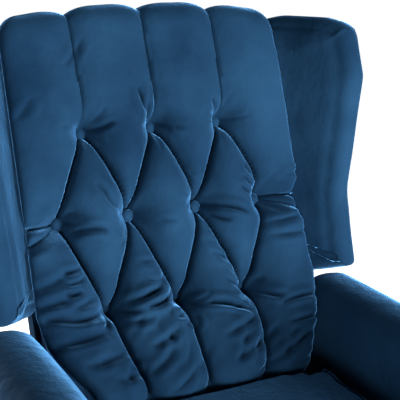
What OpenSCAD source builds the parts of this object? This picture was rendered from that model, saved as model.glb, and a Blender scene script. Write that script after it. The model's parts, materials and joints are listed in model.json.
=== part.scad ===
// Wingback recliner armchair with a push-back linkage, in millimetres.
// +Z is up, the chair faces -Y, and the origin is at floor level in the middle of its outline.

/* [Chair] */
// Width over the two arms
overall_w = 710; // [660:5:860]
// Height of the top of the back above the floor
overall_h = 1060; // [980:5:1130]
// Seat depth, from its front crown to the foot of the back cushion
seat_d = 470; // [430:5:570]
// Height of the seat cushion's top
seat_h = 490; // [465:5:510]
// Height of the arm tops
arm_h = 596; // [560:4:600]
// Width of one arm
arm_w = 112; // [92:2:134]
// Height of the legs
leg_h = 150; // [140:5:165]
// Lean of the back from upright, in degrees
recline = 20; // [16:1:24]

/* [Back] */
// Drop of the arched top edge from its middle to its sides
arch_drop = 20; // [10:5:50]
// Sideways spacing of the tufting buttons
button_pitch = 124; // [110:2:130]
// Height between two rows of buttons
row_pitch = 142; // [120:2:150]
// Radius of one covered button
button_r = 12; // [9:1:14]
// Thickness of one upholstered wing
wing_t = 50; // [40:1:56]
// Outward flare of the wings, in degrees
wing_flare = 27; // [20:1:30]

/* [Frame] */
// Thickness of the back posts, front to rear
post_t = 30; // [24:1:34]
// Width of the back posts
post_w = 42; // [34:1:50]
// Thickness of the wing boards
wing_board_t = 12; // [9:1:15]
// Thickness of the footrest board
footrest_board_t = 18; // [12:1:20]
// Thickness of the footrest padding
footrest_pad_t = 34; // [28:1:40]
// Height of the footrest panel
footrest_h = 245; // [215:5:250]

/* [Mechanism] */
// Thickness of the pressed steel links
link_t = 4; // [3:0.5:4]
// Width of the steel links
link_w = 22; // [18:1:24]
// Radius of the rivet pins
pin_r = 4; // [3:0.25:5]
// Radial clearance of the pins in their holes
pin_gap = 0.05; // [0.02:0.01:0.1]
// Length of the links that carry the seat
carry_len = 84; // [76:1:90]
// Lean of those links behind upright when the chair is closed, in degrees
carry_lean = 20; // [14:1:24]

/* [Hidden] */
$fn = 48;

gap = 0.2;                                     // clearance between pieces that seat on each other
velvet = [0.10, 0.24, 0.42];
beech = [0.78, 0.63, 0.44];
ply = [0.74, 0.58, 0.38];
steel = [0.20, 0.20, 0.22];
zinc = [0.62, 0.63, 0.65];
spring_steel = [0.35, 0.35, 0.37];
leg_brown = [0.16, 0.09, 0.06];

// Widths, from the arms inwards
half_w = overall_w / 2;
arm_in = half_w - arm_w;                       // inner face of an arm
arm_r = arm_w / 2;                             // round top of an arm
rail_t = 3;                                    // sheet of the rails and plates
base_out = arm_in;                             // the base rail lies on the arm's inner face
carry_out = base_out - rail_t - 0.5;
plate_out = carry_out - rail_t - 0.5;          // seat plate's outer face
swing_out = plate_out - rail_t - 2.5;
carrier_out = swing_out - link_t - 0.5;
guide_out = carrier_out - link_t - 0.5;
bracket_out = plate_out - rail_t - 0.7;        // back bracket's outer face
post_out = bracket_out - rail_t - 0.3;         // back post's outer face
seat_rail_out = post_out;
seat_half_w = arm_in - 10;

// Heights
hinge_z = leg_h + 180;
plate_top = leg_h + 212;
seat_rail_top = leg_h + 242;
spring_t = 3.6;
cushion_z = leg_h + 250;
footrest_z = leg_h + 25;
footrest_top = footrest_z + footrest_h;

// Back panel layers, measured from the hinge, at right angles to the back
cushion_rear = -6;
button_u = -68;                                // seat of the buttons
face_u = -99;                                  // crown of the tufted face
lumbar_u = -162;                               // foremost point of the lumbar roll
outside_u = post_t;                            // front of the outside back
outside_t = 14;
roll_r = 44;                                   // roll along the top of the back
roll_u = cushion_rear - roll_r;
// Height of the top of the arch along the back
back_top = (overall_h - roll_r - hinge_z + roll_u * sin(recline)) / cos(recline) + roll_r;
outside_top = back_top - 25;
back_half_w = post_out - 4;                    // the cushion is a little narrower than the posts
arch_half = back_half_w + 3;
arch_r = (arch_half * arch_half + arch_drop * arch_drop) / (2 * arch_drop);
side_top = back_top - arch_drop;               // height of the back's top corners
cushion_v = 95;                                // rear foot of the back cushion
lumbar_r = 40;
lumbar_v = 158;                                // middle of the lumbar roll
wing_v = 275;                                  // foot of the wings
row_v = [lumbar_v + 112, lumbar_v + 112 + row_pitch, lumbar_v + 112 + 2 * row_pitch];
top_rail_h = 52;
lower_rail_v = 30;
lower_rail_h = 50;

// Fore-and-aft places. f counts forward from the face of the footrest board, y = front_y - f.
crown_f = 25;                                  // front crown of the seat cushion
lumbar_reach = -(lumbar_u + 2) * cos(recline) - 120 * sin(recline);
hinge_f = crown_f - seat_d - lumbar_reach;
rear_reach = (outside_u + outside_t) * cos(recline) + outside_top * sin(recline);
overall_d = footrest_pad_t - hinge_f + rear_reach;
front_y = -overall_d / 2 + footrest_pad_t;
hinge_y = front_y - hinge_f;
arm_front_f = 15;
arm_rear_f = hinge_f - 40;
panel_t = 12;                                  // front and rear panels of the arms
seat_rear_f = hinge_f + 54;
seat_rail_front_f = -footrest_board_t - 4;

// Linkage pivots as [f, z]
swing_len = 120;
swing_pivot = [-110, leg_h + 140];
swing_rest = -100;
elbow = swing_pivot + swing_len * [cos(swing_rest), sin(swing_rest)];
foot_pivot = [-45, footrest_z + 150];
guide_arm = 40;
guide_pivot = [-155.9, leg_h + 185.9];
carrier_dir = atan2(foot_pivot[1] - elbow[1], foot_pivot[0] - elbow[0]);
carrier_len = norm(foot_pivot - elbow);
guide_end = elbow + guide_arm * [cos(carrier_dir + 90.3), sin(carrier_dir + 90.3)];
guide_slack = 1.2;                             // extra radius of the guide link's far hole
open_slack = 0.3;                              // extra radius of the rear links' upper holes
tube_pivot = elbow + 100 * [cos(carrier_dir), sin(carrier_dir)];
tube_r = 8;
carry_base_z = leg_h + 55;
carry_base_f = [-190, hinge_f + 124];
carry_rise = carry_len * cos(carry_lean);
carry_top = [for (f = carry_base_f) [f - carry_len * sin(carry_lean), carry_base_z + carry_rise]];
base_rail_f = [hinge_f + 58, -165];

// Small parts
head_r = pin_r + 3.5;
bolt_r = 3;
screw_r = 2.5;
leg_bolt_r = 4;

// ---- helpers -------------------------------------------------------------------------------

// Puts children on the viewer's right (s = 1) or left (s = -1)
module side(s) {
    mirror([s < 0 ? 1 : 0, 0, 0]) children();
}

module both() {
    side(1) children();
    side(-1) children();
}

// Extrudes an [f, z] outline across x
module across(x0, x1) {
    translate([x1, front_y, 0]) rotate([90, 0, -90]) linear_extrude(x1 - x0) children();
}

// Extrudes an [x, z] outline along y, between two f places
module along(f0, f1) {
    translate([0, front_y - f0, 0]) rotate([90, 0, 0]) linear_extrude(f1 - f0) children();
}

// A block between two x, two f and two z places
module block(x, f, z) {
    translate([x[0], front_y - f[1], z[0]]) cube([x[1] - x[0], f[1] - f[0], z[1] - z[0]]);
}

// A round bar across x at an [f, z] place
module cross_bar(p, x0, x1, r) {
    translate([x0, front_y - p[0], p[1]]) rotate([0, 90, 0]) cylinder(h = x1 - x0, r = r);
}

// The frame of the leaning back: x, then rearwards, then up along the back from the hinge
module on_back() {
    translate([0, hinge_y, hinge_z]) rotate([-recline, 0, 0]) children();
}

module back_across(x0, x1) {
    translate([x0, 0, 0]) rotate([90, 0, 90]) linear_extrude(x1 - x0) children();
}

module back_through(u0, u1) {
    translate([0, u1, 0]) rotate([90, 0, 0]) linear_extrude(u1 - u0) children();
}

// A bar with round eyes at two points of a plane, and a shank a little narrower than the eyes
module bar(a, b, w) {
    d = b - a;
    shank = 0.86 * w;
    translate(a) rotate(atan2(d[1], d[0])) translate([0, -shank / 2]) square([norm(d), shank]);
    translate(a) circle(w / 2);
    translate(b) circle(w / 2);
}

module hole(p, r) {
    translate(p) circle(r);
}

// Points of a zigzag wire of square section, running from 0 to its length
function zigzag_side(n, pitch, amp, off) = [
    for (i = [0:n - 1], k = [0:5])
        let (s = i % 2 == 0 ? 1 : -1, a = 180 * k / 5, r = pitch / 4 + s * off)
        [pitch / 4 + i * pitch / 2 - r * cos(a), s * (amp + r * sin(a))]
];

function reversed(list) = [for (i = [len(list) - 1:-1:0]) list[i]];

function zigzag_edge(n, pitch, amp, off) = concat(
    [[-off, -amp]],
    zigzag_side(n, pitch, amp, off),
    [[n * pitch / 2 + (n % 2 == 0 ? -off : off), n % 2 == 0 ? amp : -amp]]
);

module zigzag(n, pitch, amp, t) {
    polygon(concat(zigzag_edge(n, pitch, amp, t / 2), reversed(zigzag_edge(n, pitch, amp, -t / 2))));
}

// A rivet across x: a shank with a low head at its inner end, its outer end or both
module rivet(p, x0, x1, inner = 0, outer = 0) {
    cross_bar(p, x0, x1, pin_r);
    if (inner > 0) cross_bar(p, x0 - inner, x0, head_r);
    if (outer > 0) cross_bar(p, x1, x1 + outer, head_r);
}

// ---- arms and base ---------------------------------------------------------------------------

pad_wall = 12;
arm_core_top = arm_h - 44;
rail_top = leg_h + 112;                        // bare wooden rail that carries the linkage

module arm_outline() {
    translate([arm_in, leg_h]) square([arm_w, arm_h - arm_r - leg_h]);
    translate([arm_in + arm_r, arm_h - arm_r]) circle(arm_r);
}

board_t = 22;
leg_block = [55, 50];                          // length and height of the block above a leg

// Boards of one arm: two side rails, a top rail, two posts and the blocks that hold the legs
module arm_boards() {
    x = [arm_in + gap, half_w - pad_wall - gap];
    mid_x = [x[0] + board_t + gap, x[1] - board_t - gap];
    f = [arm_rear_f + panel_t + gap, arm_front_f - panel_t - gap];
    top = arm_core_top - gap;
    block([x[0], x[0] + board_t], f, [leg_h, rail_top - gap]);
    block([x[1] - board_t, x[1]], f, [leg_h, leg_h + leg_block[1]]);
    block([x[0] + 32, x[1] - 20], f, [top - 30, top]);
    for (f0 = [f[0], f[1] - leg_block[0]])
        block(mid_x, [f0, f0 + leg_block[0]], [leg_h, leg_h + leg_block[1]]);
    for (f0 = [f[0], f[1] - 32])
        block(mid_x, [f0, f0 + 32], [leg_h + leg_block[1] + gap, top - 30 - gap]);
}

module arm_frame() {
    color(beech) difference() {
        arm_boards();
        for (f = base_bolt_f) cross_bar([f, base_bolt_z], arm_in - 1, arm_in + 19, bolt_r + pin_gap);
        for (f = leg_f) translate([leg_x, front_y - f, leg_h - 1]) cylinder(h = 31, r = leg_bolt_r + pin_gap);
    }
}

module arm_pad() {
    color(velvet) along(arm_rear_f + panel_t, arm_front_f - panel_t) difference() {
        arm_outline();
        translate([arm_in + pad_wall, leg_h - 1]) square([arm_w - 2 * pad_wall, arm_core_top - leg_h + 1]);
        translate([arm_in - 1, leg_h - 1]) square([pad_wall + 2, rail_top - leg_h + 1]);
    }
}

module arm_panel(f0) {
    color(velvet) along(f0, f0 + panel_t - gap) arm_outline();
}

front_rail_f = [-262, -222];
rear_rail_f = [arm_rear_f + panel_t, arm_rear_f + panel_t + 30];

// A rail between the two arms, standing on the level of the arms' undersides
module cross_rail(f, h) {
    color(beech) block([-arm_in, arm_in], f, [leg_h, leg_h + h]);
}

module rear_panel() {
    x = arm_in - 2;
    color(velvet) block([-x, x], [arm_rear_f + 1, arm_rear_f + panel_t - 1], [leg_h, leg_h + 150]);
}

leg_x = arm_in + arm_r;
leg_f = [arm_front_f - 42, arm_rear_f + 42];
glide_h = 4;
leg_rake = 38;

module front_legs() {
    color(leg_brown) both() difference() {
        translate([leg_x, front_y - leg_f[0], glide_h]) union() {
            cylinder(h = leg_h - glide_h - 24, r1 = 15, r2 = 25);
            translate([0, 0, leg_h - glide_h - 24]) cylinder(h = 24 - gap, r = 28);
        }
        translate([leg_x, front_y - leg_f[0], leg_h - 40]) cylinder(h = 41, r = leg_bolt_r + pin_gap);
    }
}

module rear_legs() {
    slope = atan2(leg_rake, leg_h - 24);
    color(leg_brown) both() difference() {
        union() {
            translate([leg_x, front_y - leg_f[1], leg_h - 24]) cylinder(h = 24 - gap, r = 28);
            intersection() {
                translate([leg_x, front_y - leg_f[1], leg_h - 20]) rotate([180 + slope, 0, 0])
                    cylinder(h = leg_h + 20, r1 = 25, r2 = 14);
                translate([leg_x - 60, front_y - leg_f[1] - 60, glide_h])
                    cube([120, 160, leg_h - glide_h - 20]);
            }
        }
        translate([leg_x, front_y - leg_f[1], leg_h - 40]) cylinder(h = 41, r = leg_bolt_r + pin_gap);
    }
}

module leg_bolts() {
    color(zinc) both() for (f = leg_f)
        translate([leg_x, front_y - f, leg_h - 39]) cylinder(h = 68, r = leg_bolt_r);
}

module leg_glides() {
    foot_y = [0, leg_rake * (leg_h - 20) / (leg_h - 24)];
    color([0.1, 0.1, 0.1]) both() for (i = [0, 1])
        translate([leg_x, front_y - leg_f[i] + foot_y[i], 0])
            cylinder(h = glide_h - gap / 2, r1 = 10, r2 = 12);
}

base_bolt_z = leg_h + 66;
base_bolt_f = [carry_base_f[0] - 50, (carry_base_f[0] + carry_base_f[1]) / 2, carry_base_f[1] + 36];

module base_rail() {
    outline_z = [leg_h + 30, leg_h + 80];
    color(steel) {
        difference() {
            union() {
                across(base_out - rail_t, base_out)
                    translate([base_rail_f[0], outline_z[0]])
                    square([base_rail_f[1] - base_rail_f[0], outline_z[1] - outline_z[0]]);
                block([base_out - 14, base_out], base_rail_f, [outline_z[0], outline_z[0] + rail_t]);
            }
            for (f = carry_base_f) cross_bar([f, carry_base_z], base_out - 10, base_out + 1, pin_r + pin_gap);
            for (f = base_bolt_f) cross_bar([f, base_bolt_z], base_out - 10, base_out + 1, bolt_r + pin_gap);
        }
    }
}

module base_rail_bolts() {
    color(zinc) both() for (f = base_bolt_f) {
        cross_bar([f, base_bolt_z], base_out - rail_t, base_out + 18, bolt_r);
        cross_bar([f, base_bolt_z], base_out - rail_t - 2.5, base_out - rail_t, bolt_r + 3);
    }
}

// ---- links that carry the seat ------------------------------------------------------------------

module carry_links(i) {
    base = [carry_base_f[i], carry_base_z];
    color(steel) both() across(carry_out - rail_t, carry_out) difference() {
        bar(base, carry_top[i], link_w);
        hole(base, pin_r + pin_gap);
        hole(carry_top[i], pin_r + pin_gap);
    }
}

module carry_pins(i) {
    base = [carry_base_f[i], carry_base_z];
    color(zinc) both() {
        rivet(base, carry_out - rail_t - gap, base_out - gap, inner = 2);
        rivet(carry_top[i], plate_out - rail_t - gap, carry_out + gap, inner = 1.8, outer = 1.8);
    }
}

// ---- seat -----------------------------------------------------------------------------------------

module seat_plate() {
    mid_z = plate_top - 26;
    front = [-105, mid_z];
    rear = [hinge_f, mid_z];
    color(steel) difference() {
        union() {
            across(plate_out - rail_t, plate_out) {
                bar(front, rear, 50);
                bar([swing_pivot[0], mid_z], swing_pivot, 34);
                for (p = carry_top) bar([p[0], mid_z], p, 34);
            }
            block([seat_rail_out - 28, plate_out], [seat_rear_f, -90],
                [plate_top - rail_t - gap, plate_top - gap]);
        }
        for (p = [carry_top[0], swing_pivot, guide_pivot, [hinge_f, hinge_z]])
            cross_bar(p, plate_out - 10, plate_out + 1, pin_r + pin_gap);
        cross_bar(carry_top[1], plate_out - 10, plate_out + 1, pin_r + open_slack);
        for (f = seat_screw_f)
            translate([seat_screw_x, front_y - f, plate_top - 10]) cylinder(h = 20, r = screw_r + pin_gap);
    }
}

seat_screw_x = guide_out - link_t - 9;
seat_screw_f = [-130, -290, -450];
frame_w = 32;

module seat_frame() {
    x = seat_rail_out;
    f = [seat_rear_f, seat_rail_front_f];
    z = [plate_top, seat_rail_top];
    color(beech) difference() {
        union() {
            both() block([x - frame_w, x], f, z);
            for (f0 = [f[0], f[1] - board_t])
                block([frame_w + gap - x, x - frame_w - gap], [f0, f0 + board_t], z);
        }
        both() for (s = seat_screw_f)
            translate([seat_screw_x, front_y - s, plate_top - 1]) cylinder(h = 26, r = screw_r + pin_gap);
    }
}

module seat_plate_screws() {
    under = plate_top - gap - rail_t;
    color(zinc) both() for (f = seat_screw_f) translate([seat_screw_x, front_y - f, 0]) {
        translate([0, 0, under]) cylinder(h = 26, r = screw_r);
        translate([0, 0, under - 2.5]) cylinder(h = 2.5, r = screw_r + 2.5);
    }
}

spring_pitch = 44;
spring_amp = 12;
spring_hold = 12;                              // distance of a spring's end bar from the rail's edge
seat_spring_x = [-150, -75, 0, 75, 150];
seat_spring_span = seat_rail_front_f - seat_rear_f - 2 * spring_hold;
seat_spring_n = floor(seat_spring_span / (spring_pitch / 2));

module seat_springs() {
    pitch = 2 * seat_spring_span / seat_spring_n;
    color(spring_steel) for (x = seat_spring_x)
        translate([x, front_y - seat_rail_front_f + spring_hold, seat_rail_top + gap]) rotate(90)
            linear_extrude(spring_t) zigzag(seat_spring_n, pitch, spring_amp, spring_t);
}

// A clip is a folded plate that holds the end bar of a spring down on the rail
module seat_spring_clips() {
    slot = spring_t + 4 * gap;
    color(zinc) for (x = seat_spring_x, f = [seat_rear_f + spring_hold, seat_rail_front_f - spring_hold])
        translate([x - 5, front_y - f, seat_rail_top]) difference() {
            translate([0, -5, 0]) cube([10, 10, spring_t + 2]);
            translate([-1, -slot / 2, -1]) cube([12, slot, spring_t + 1 + 2 * gap]);
        }
}

module seat_felt() {
    x = seat_rail_out - 10;
    color([0.35, 0.34, 0.33]) block([-x, x], [seat_rear_f + 4, seat_rail_front_f - 4],
        [seat_rail_top + spring_t + 2 + gap, cushion_z - gap]);
}

module seat_cushion() {
    rear_top = (lumbar_reach - 54) * tan(30) + 1;
    color(velvet) across(-seat_half_w, seat_half_w) polygon([
        [seat_rear_f, cushion_z], [-footrest_board_t - 6, cushion_z],
        [-footrest_board_t - 6, footrest_top + 10], [crown_f - 14, footrest_top + 10],
        [crown_f, footrest_top + 24], [crown_f, seat_h - 22], [crown_f - 22, seat_h],
        [hinge_f + lumbar_reach, seat_h], [seat_rear_f, seat_h - rear_top]
    ]);
}

module hinge_pins() {
    color(zinc) both()
        rivet([hinge_f, hinge_z], bracket_out - rail_t - gap, plate_out + gap, inner = 2, outer = 2);
}

module footrest_ground_pins() {
    color(zinc) both() {
        rivet(swing_pivot, swing_out - link_t - gap, plate_out + gap, inner = 2, outer = 2);
        rivet(guide_pivot, guide_out - link_t - gap, plate_out + gap, inner = 2, outer = 2);
    }
}

// ---- back ---------------------------------------------------------------------------------------------

bracket_v = [-20, 105];
bracket_bolt_v = [42, 88];
bracket_u = 15;

module back_bracket() {
    color(steel) on_back() difference() {
        back_across(bracket_out - rail_t, bracket_out) difference() {
            union() {
                bar([bracket_u, bracket_v[0] + 14], [bracket_u, bracket_v[1] - 12], 28);
                circle(16);
            }
            circle(pin_r + pin_gap);
        }
        for (v = bracket_bolt_v) translate([bracket_out - 10, bracket_u, v]) rotate([0, 90, 0])
            cylinder(h = 12, r = bolt_r + pin_gap);
    }
}

module back_bracket_bolts() {
    color(zinc) on_back() both() for (v = bracket_bolt_v)
        translate([post_out - 24, bracket_u, v]) rotate([0, 90, 0])
            cylinder(h = 24 + bracket_out - post_out, r = bolt_r);
}

module arch(drop) {
    translate([0, back_top - arch_r]) circle(arch_r - drop, $fn = 96);
}

module back_frame() {
    rail_u = [0, board_t];
    post_in = post_out - post_w;
    color(beech) on_back() difference() {
        union() {
            both() translate([post_in, 0, -10]) cube([post_w, post_t, side_top - top_rail_h - 10]);
            back_through(rail_u[0], rail_u[1]) intersection() {
                arch(35);
                translate([-post_out, side_top - top_rail_h - 20 + gap])
                    square([2 * post_out, back_top - side_top + top_rail_h + 20]);
            }
            translate([gap - post_in, rail_u[0], lower_rail_v])
                cube([2 * (post_in - gap), board_t, lower_rail_h]);
        }
        both() for (v = bracket_bolt_v) translate([post_out - 25, bracket_u, v]) rotate([0, 90, 0])
            cylinder(h = 30, r = bolt_r + pin_gap);
        both() for (v = wing_screw_v) translate([post_out - 20, bracket_u, v]) rotate([0, 90, 0])
            cylinder(h = 25, r = screw_r + pin_gap);
        both() translate([post_out - 3, 0, 0]) rotate([0, 90, 0]) cylinder(h = 4, r = head_r + 1);
    }
}

back_spring_x = [-108, 0, 108];
back_spring_v = [lower_rail_v + 20, side_top - 45];

module back_springs() {
    span = back_spring_v[1] - back_spring_v[0];
    n = floor(span / (spring_pitch / 2));
    color(spring_steel) on_back() for (x = back_spring_x)
        translate([x, -gap, back_spring_v[0]]) rotate([90, 0, 0]) rotate(90) mirror([0, 1, 0])
            linear_extrude(spring_t) zigzag(n, 2 * span / n, 10, spring_t);
}

// Places of the tufting buttons as [x, v]: three, four and three in a row
button_places = concat(
    [for (x = [-1, 0, 1]) [x * button_pitch, row_v[0]]],
    [for (x = [-1.5, -0.5, 0.5, 1.5]) [x * button_pitch, row_v[1]]],
    [for (x = [-1, 0, 1]) [x * button_pitch, row_v[2]]]
);
tie_r = 1.2;

module back_cushion_side() {
    top_v = back_top - roll_r;
    polygon([
        [cushion_rear, cushion_v], [cushion_rear, top_v], [roll_u - roll_r, top_v], [face_u, side_top - 90],
        [face_u, lumbar_v + 142], [face_u - 18, lumbar_v + 75], [lumbar_u + 6, lumbar_v + 28],
        [lumbar_u, lumbar_v], [lumbar_u + lumbar_r, lumbar_v - lumbar_r]
    ]);
    translate([roll_u, top_v]) circle(roll_r);
    translate([lumbar_u + lumbar_r, lumbar_v]) circle(lumbar_r);
}

module back_cushion_front() {
    foot_half = back_half_w - 42;
    intersection() {
        arch(0);
        polygon([
            [-foot_half, cushion_v - 5], [foot_half, cushion_v - 5], [back_half_w, lumbar_v + 75],
            [back_half_w, back_top], [-back_half_w, back_top], [-back_half_w, lumbar_v + 75]
        ]);
    }
}

module back_cushion() {
    color(velvet) on_back() difference() {
        intersection() {
            back_across(-back_half_w - 5, back_half_w + 5) back_cushion_side();
            back_through(lumbar_u - 5, cushion_rear + 5) back_cushion_front();
        }
        for (p = button_places) translate([p[0], 0, p[1]]) {
            translate([0, button_u, 0]) rotate([90, 0, 0])
                cylinder(h = 60, r1 = button_r + 1, r2 = button_r + 30);
            rotate([90, 0, 0]) cylinder(h = 1 - button_u, r = tie_r + gap);
        }
    }
}

module back_buttons() {
    color(velvet) on_back() for (p = button_places)
        translate([p[0], button_u - gap, p[1]]) rotate([90, 0, 0]) difference() {
            union() {
                cylinder(h = 3, r = button_r);
                translate([0, 0, 3]) cylinder(h = 3.5, r1 = button_r, r2 = button_r * 0.55);
            }
            translate([0, 0, -1]) cylinder(h = 3, r = tie_r + gap);
        }
}

module button_ties() {
    color([0.85, 0.84, 0.8]) on_back() for (p = button_places)
        translate([p[0], cushion_rear + 1.2, p[1]]) rotate([90, 0, 0])
            cylinder(h = cushion_rear + 1.2 - button_u + 1, r = tie_r);
}

module outside_back() {
    low = post_out - 1;
    wide = post_out + 21;
    color(velvet) on_back() back_through(outside_u + gap, outside_u + outside_t) intersection() {
        arch(25);
        union() {
            translate([-low, 6]) square([2 * low, outside_top]);
            translate([-wide, wing_v + 2]) square([2 * wide, side_top - wing_v - 27]);
        }
    }
}

// ---- wings ----------------------------------------------------------------------------------------------

wing_root = [post_out + 0.5, -25];             // where the inner face turns outwards
wing_out = [sin(wing_flare), -cos(wing_flare)];
wing_side = [cos(wing_flare), sin(wing_flare)];
wing_depth = 178;
wing_reach = wing_root[1] - wing_depth * cos(wing_flare);
wing_edge = 12;                                // chamfer along the front edge
wing_foam = 19;                                // padding between a wing's inner face and its board
wing_screw_v = [wing_v + 50, wing_v + 200, wing_v + 340];

module wing_plan() {
    tip = wing_root + wing_depth * wing_out;
    heel = tip - wing_edge * wing_out;
    polygon([
        [wing_root[0], post_t], wing_root, heel, tip + wing_edge * wing_side,
        tip + (wing_t - wing_edge) * wing_side, heel + wing_t * wing_side,
        wing_root + wing_t * wing_side, [wing_root[0] + 21, post_t]
    ]);
}

// Side outline of a wing as [rearwards, up], drawn in by an inset all round
module wing_outline(inset) {
    foot = wing_v + inset;
    top = side_top - inset;
    edge = wing_reach + inset;
    tip_r = 60 - inset;
    tip_middle = [wing_reach + 60, side_top - 88];
    polygon([
        [post_t, foot], [edge + 114, foot], [edge + 76, foot + 11], [edge + 57, foot + 126],
        [edge, side_top - 133], each [for (a = [180:-8:108]) tip_middle + tip_r * [cos(a), sin(a)]],
        [wing_reach + 122, top - 2], [post_t, top]
    ]);
}

// Plan of the plywood inside a wing: the flared board and the strip that is screwed to the post
module wing_board_plan(c) {
    near = wing_root + (wing_foam - c) * wing_side;
    back = -20 * wing_out;
    front = (wing_depth - 22 + c) * wing_out;
    thick = (wing_board_t + 2 * c) * wing_side;
    polygon([near + back, near + front, near + front + thick, near + back + thick]);
    translate([post_out + gap - c, wing_root[1] + 1 - c])
        square([wing_board_t + 2 * c, post_t - 5 - wing_root[1] + 2 * c]);
}

module wing_board() {
    color(ply) on_back() difference() {
        intersection() {
            translate([0, 0, wing_v]) linear_extrude(side_top - wing_v) wing_board_plan(0);
            back_across(post_out - 5, half_w) wing_outline(20);
        }
        for (v = wing_screw_v) translate([post_out - 1, bracket_u, v]) rotate([0, 90, 0])
            cylinder(h = 40, r = screw_r + pin_gap);
    }
}

module wing_pad() {
    color(velvet) on_back() difference() {
        intersection() {
            translate([0, 0, wing_v - 5]) linear_extrude(side_top - wing_v + 10) wing_plan();
            back_across(post_out - 5, half_w + 20) wing_outline(0);
        }
        intersection() {
            translate([0, 0, wing_v]) linear_extrude(side_top - wing_v) wing_board_plan(gap);
            back_across(post_out - 6, half_w) wing_outline(20 - 2 * gap);
        }
        for (v = wing_screw_v) translate([post_out + wing_board_t, bracket_u, v]) rotate([0, 90, 0])
            cylinder(h = 3, r = screw_r + 3);
    }
}

module wing_screws() {
    outer = post_out + gap + wing_board_t;
    color(zinc) on_back() both() for (v = wing_screw_v) translate([0, bracket_u, v]) rotate([0, 90, 0]) {
        translate([0, 0, post_out - 19]) cylinder(h = outer - post_out + 19, r = screw_r);
        translate([0, 0, outer]) cylinder(h = 2, r = screw_r + 2.5);
    }
}

// ---- footrest linkage ----------------------------------------------------------------------------------

module swing_links() {
    color(steel) both() across(swing_out - link_t, swing_out) difference() {
        bar(swing_pivot, elbow, link_w);
        hole(swing_pivot, pin_r + pin_gap);
        hole(elbow, pin_r + pin_gap);
    }
}

module guide_links() {
    color(steel) both() across(guide_out - link_t, guide_out) difference() {
        bar(guide_pivot, guide_end, link_w - 2);
        hole(guide_pivot, pin_r + pin_gap);
        hole(guide_end, pin_r + guide_slack);
    }
}

module guide_pins() {
    color(zinc) both() rivet(guide_end, guide_out - link_t - gap, carrier_out, inner = 2);
}

module carrier_links() {
    color(steel) both() across(carrier_out - link_t, carrier_out) difference() {
        union() {
            bar(elbow, foot_pivot, link_w);
            bar(elbow, guide_end, link_w);
        }
        for (p = [elbow, foot_pivot, guide_end, tube_pivot]) hole(p, pin_r + pin_gap);
    }
}

module elbow_pins() {
    color(zinc) both() rivet(elbow, carrier_out - link_t - gap, swing_out + gap, inner = 2, outer = 1.6);
}

module footrest_cross_tube() {
    x = carrier_out - link_t - gap;
    color(steel) {
        cross_bar(tube_pivot, -x, x, tube_r);
        cross_bar(tube_pivot, -carrier_out, carrier_out, pin_r);
    }
}

foot_bracket_z = [footrest_z + 60, footrest_z + 180];
foot_screw_z = [foot_bracket_z[0] + 15, foot_bracket_z[1] - 15];
foot_screw_x = guide_out - 22;

// A pressed bracket: a plate that hangs on the carrier link and a flange along the footrest board
module footrest_bracket() {
    rear = -footrest_board_t - gap;
    color(steel) difference() {
        union() {
            across(guide_out - link_t, guide_out) {
                bar([rear - 14, foot_pivot[1] - 34], [rear - 14, foot_pivot[1] + 24], 26);
                bar([rear - 14, foot_pivot[1]], foot_pivot, link_w);
                translate([rear - 14, foot_bracket_z[0]]) square([14, foot_bracket_z[1] - foot_bracket_z[0]]);
            }
            block([guide_out - 34, guide_out], [rear - rail_t, rear], foot_bracket_z);
        }
        cross_bar(foot_pivot, guide_out - 10, guide_out + 5, pin_r + pin_gap);
        for (z = foot_screw_z) translate([foot_screw_x, front_y - rear - 1, z]) rotate([-90, 0, 0])
            cylinder(h = 10, r = screw_r + pin_gap);
    }
}

module footrest_hinge_pins() {
    color(zinc) both() rivet(foot_pivot, guide_out - link_t - gap, carrier_out + gap, inner = 2, outer = 1.6);
}

module footrest_screws() {
    rear = -footrest_board_t - gap - rail_t;
    color(zinc) both() for (z = foot_screw_z) translate([foot_screw_x, front_y - rear, z]) {
        rotate([90, 0, 0]) cylinder(h = rail_t + 12, r = screw_r);
        rotate([-90, 0, 0]) cylinder(h = 2, r = screw_r + 2.5);
    }
}

module footrest_board() {
    x = arm_in - 10;
    color(ply) difference() {
        block([-x, x], [-footrest_board_t, -gap], [footrest_z + 6, footrest_top - 6]);
        both() for (z = foot_screw_z) translate([foot_screw_x, front_y + footrest_board_t + 1, z])
            rotate([90, 0, 0]) cylinder(h = 14.5, r = screw_r + pin_gap);
    }
}

module footrest_pad() {
    x = arm_in - 6;
    r = 10;
    color(velvet) across(-x, x) {
        translate([0, footrest_z]) square([footrest_pad_t - r, footrest_h]);
        translate([footrest_pad_t - r, footrest_z + r]) square([r, footrest_h - 2 * r]);
        for (z = [footrest_z + r, footrest_top - r]) translate([footrest_pad_t - r, z]) circle(r);
    }
}

// ---- nodes ------------------------------------------------------------------------------------------------

side(-1) arm_frame();  // left_arm_frame
side(1) arm_frame();  // right_arm_frame
side(-1) arm_pad();  // left_arm_pad
side(1) arm_pad();  // right_arm_pad
side(-1) arm_panel(arm_front_f - panel_t + gap);  // left_arm_front_panel
side(1) arm_panel(arm_front_f - panel_t + gap);  // right_arm_front_panel
side(-1) arm_panel(arm_rear_f);  // left_arm_rear_panel
side(1) arm_panel(arm_rear_f);  // right_arm_rear_panel
cross_rail(front_rail_f, 28);  // front_cross_rail
cross_rail(rear_rail_f, 45);  // rear_cross_rail
rear_panel();
front_legs();
rear_legs();
leg_bolts();
leg_glides();
side(-1) base_rail();  // left_base_rail
side(1) base_rail();  // right_base_rail
base_rail_bolts();
carry_links(0);  // front_carry_links
carry_pins(0);  // front_carry_pins
carry_links(1);  // rear_carry_links
carry_pins(1);  // rear_carry_pins
side(-1) seat_plate();  // left_seat_plate
side(1) seat_plate();  // right_seat_plate
seat_frame();
seat_plate_screws();
seat_springs();
seat_spring_clips();
seat_felt();
seat_cushion();
hinge_pins();
footrest_ground_pins();
side(-1) back_bracket();  // left_back_bracket
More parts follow.
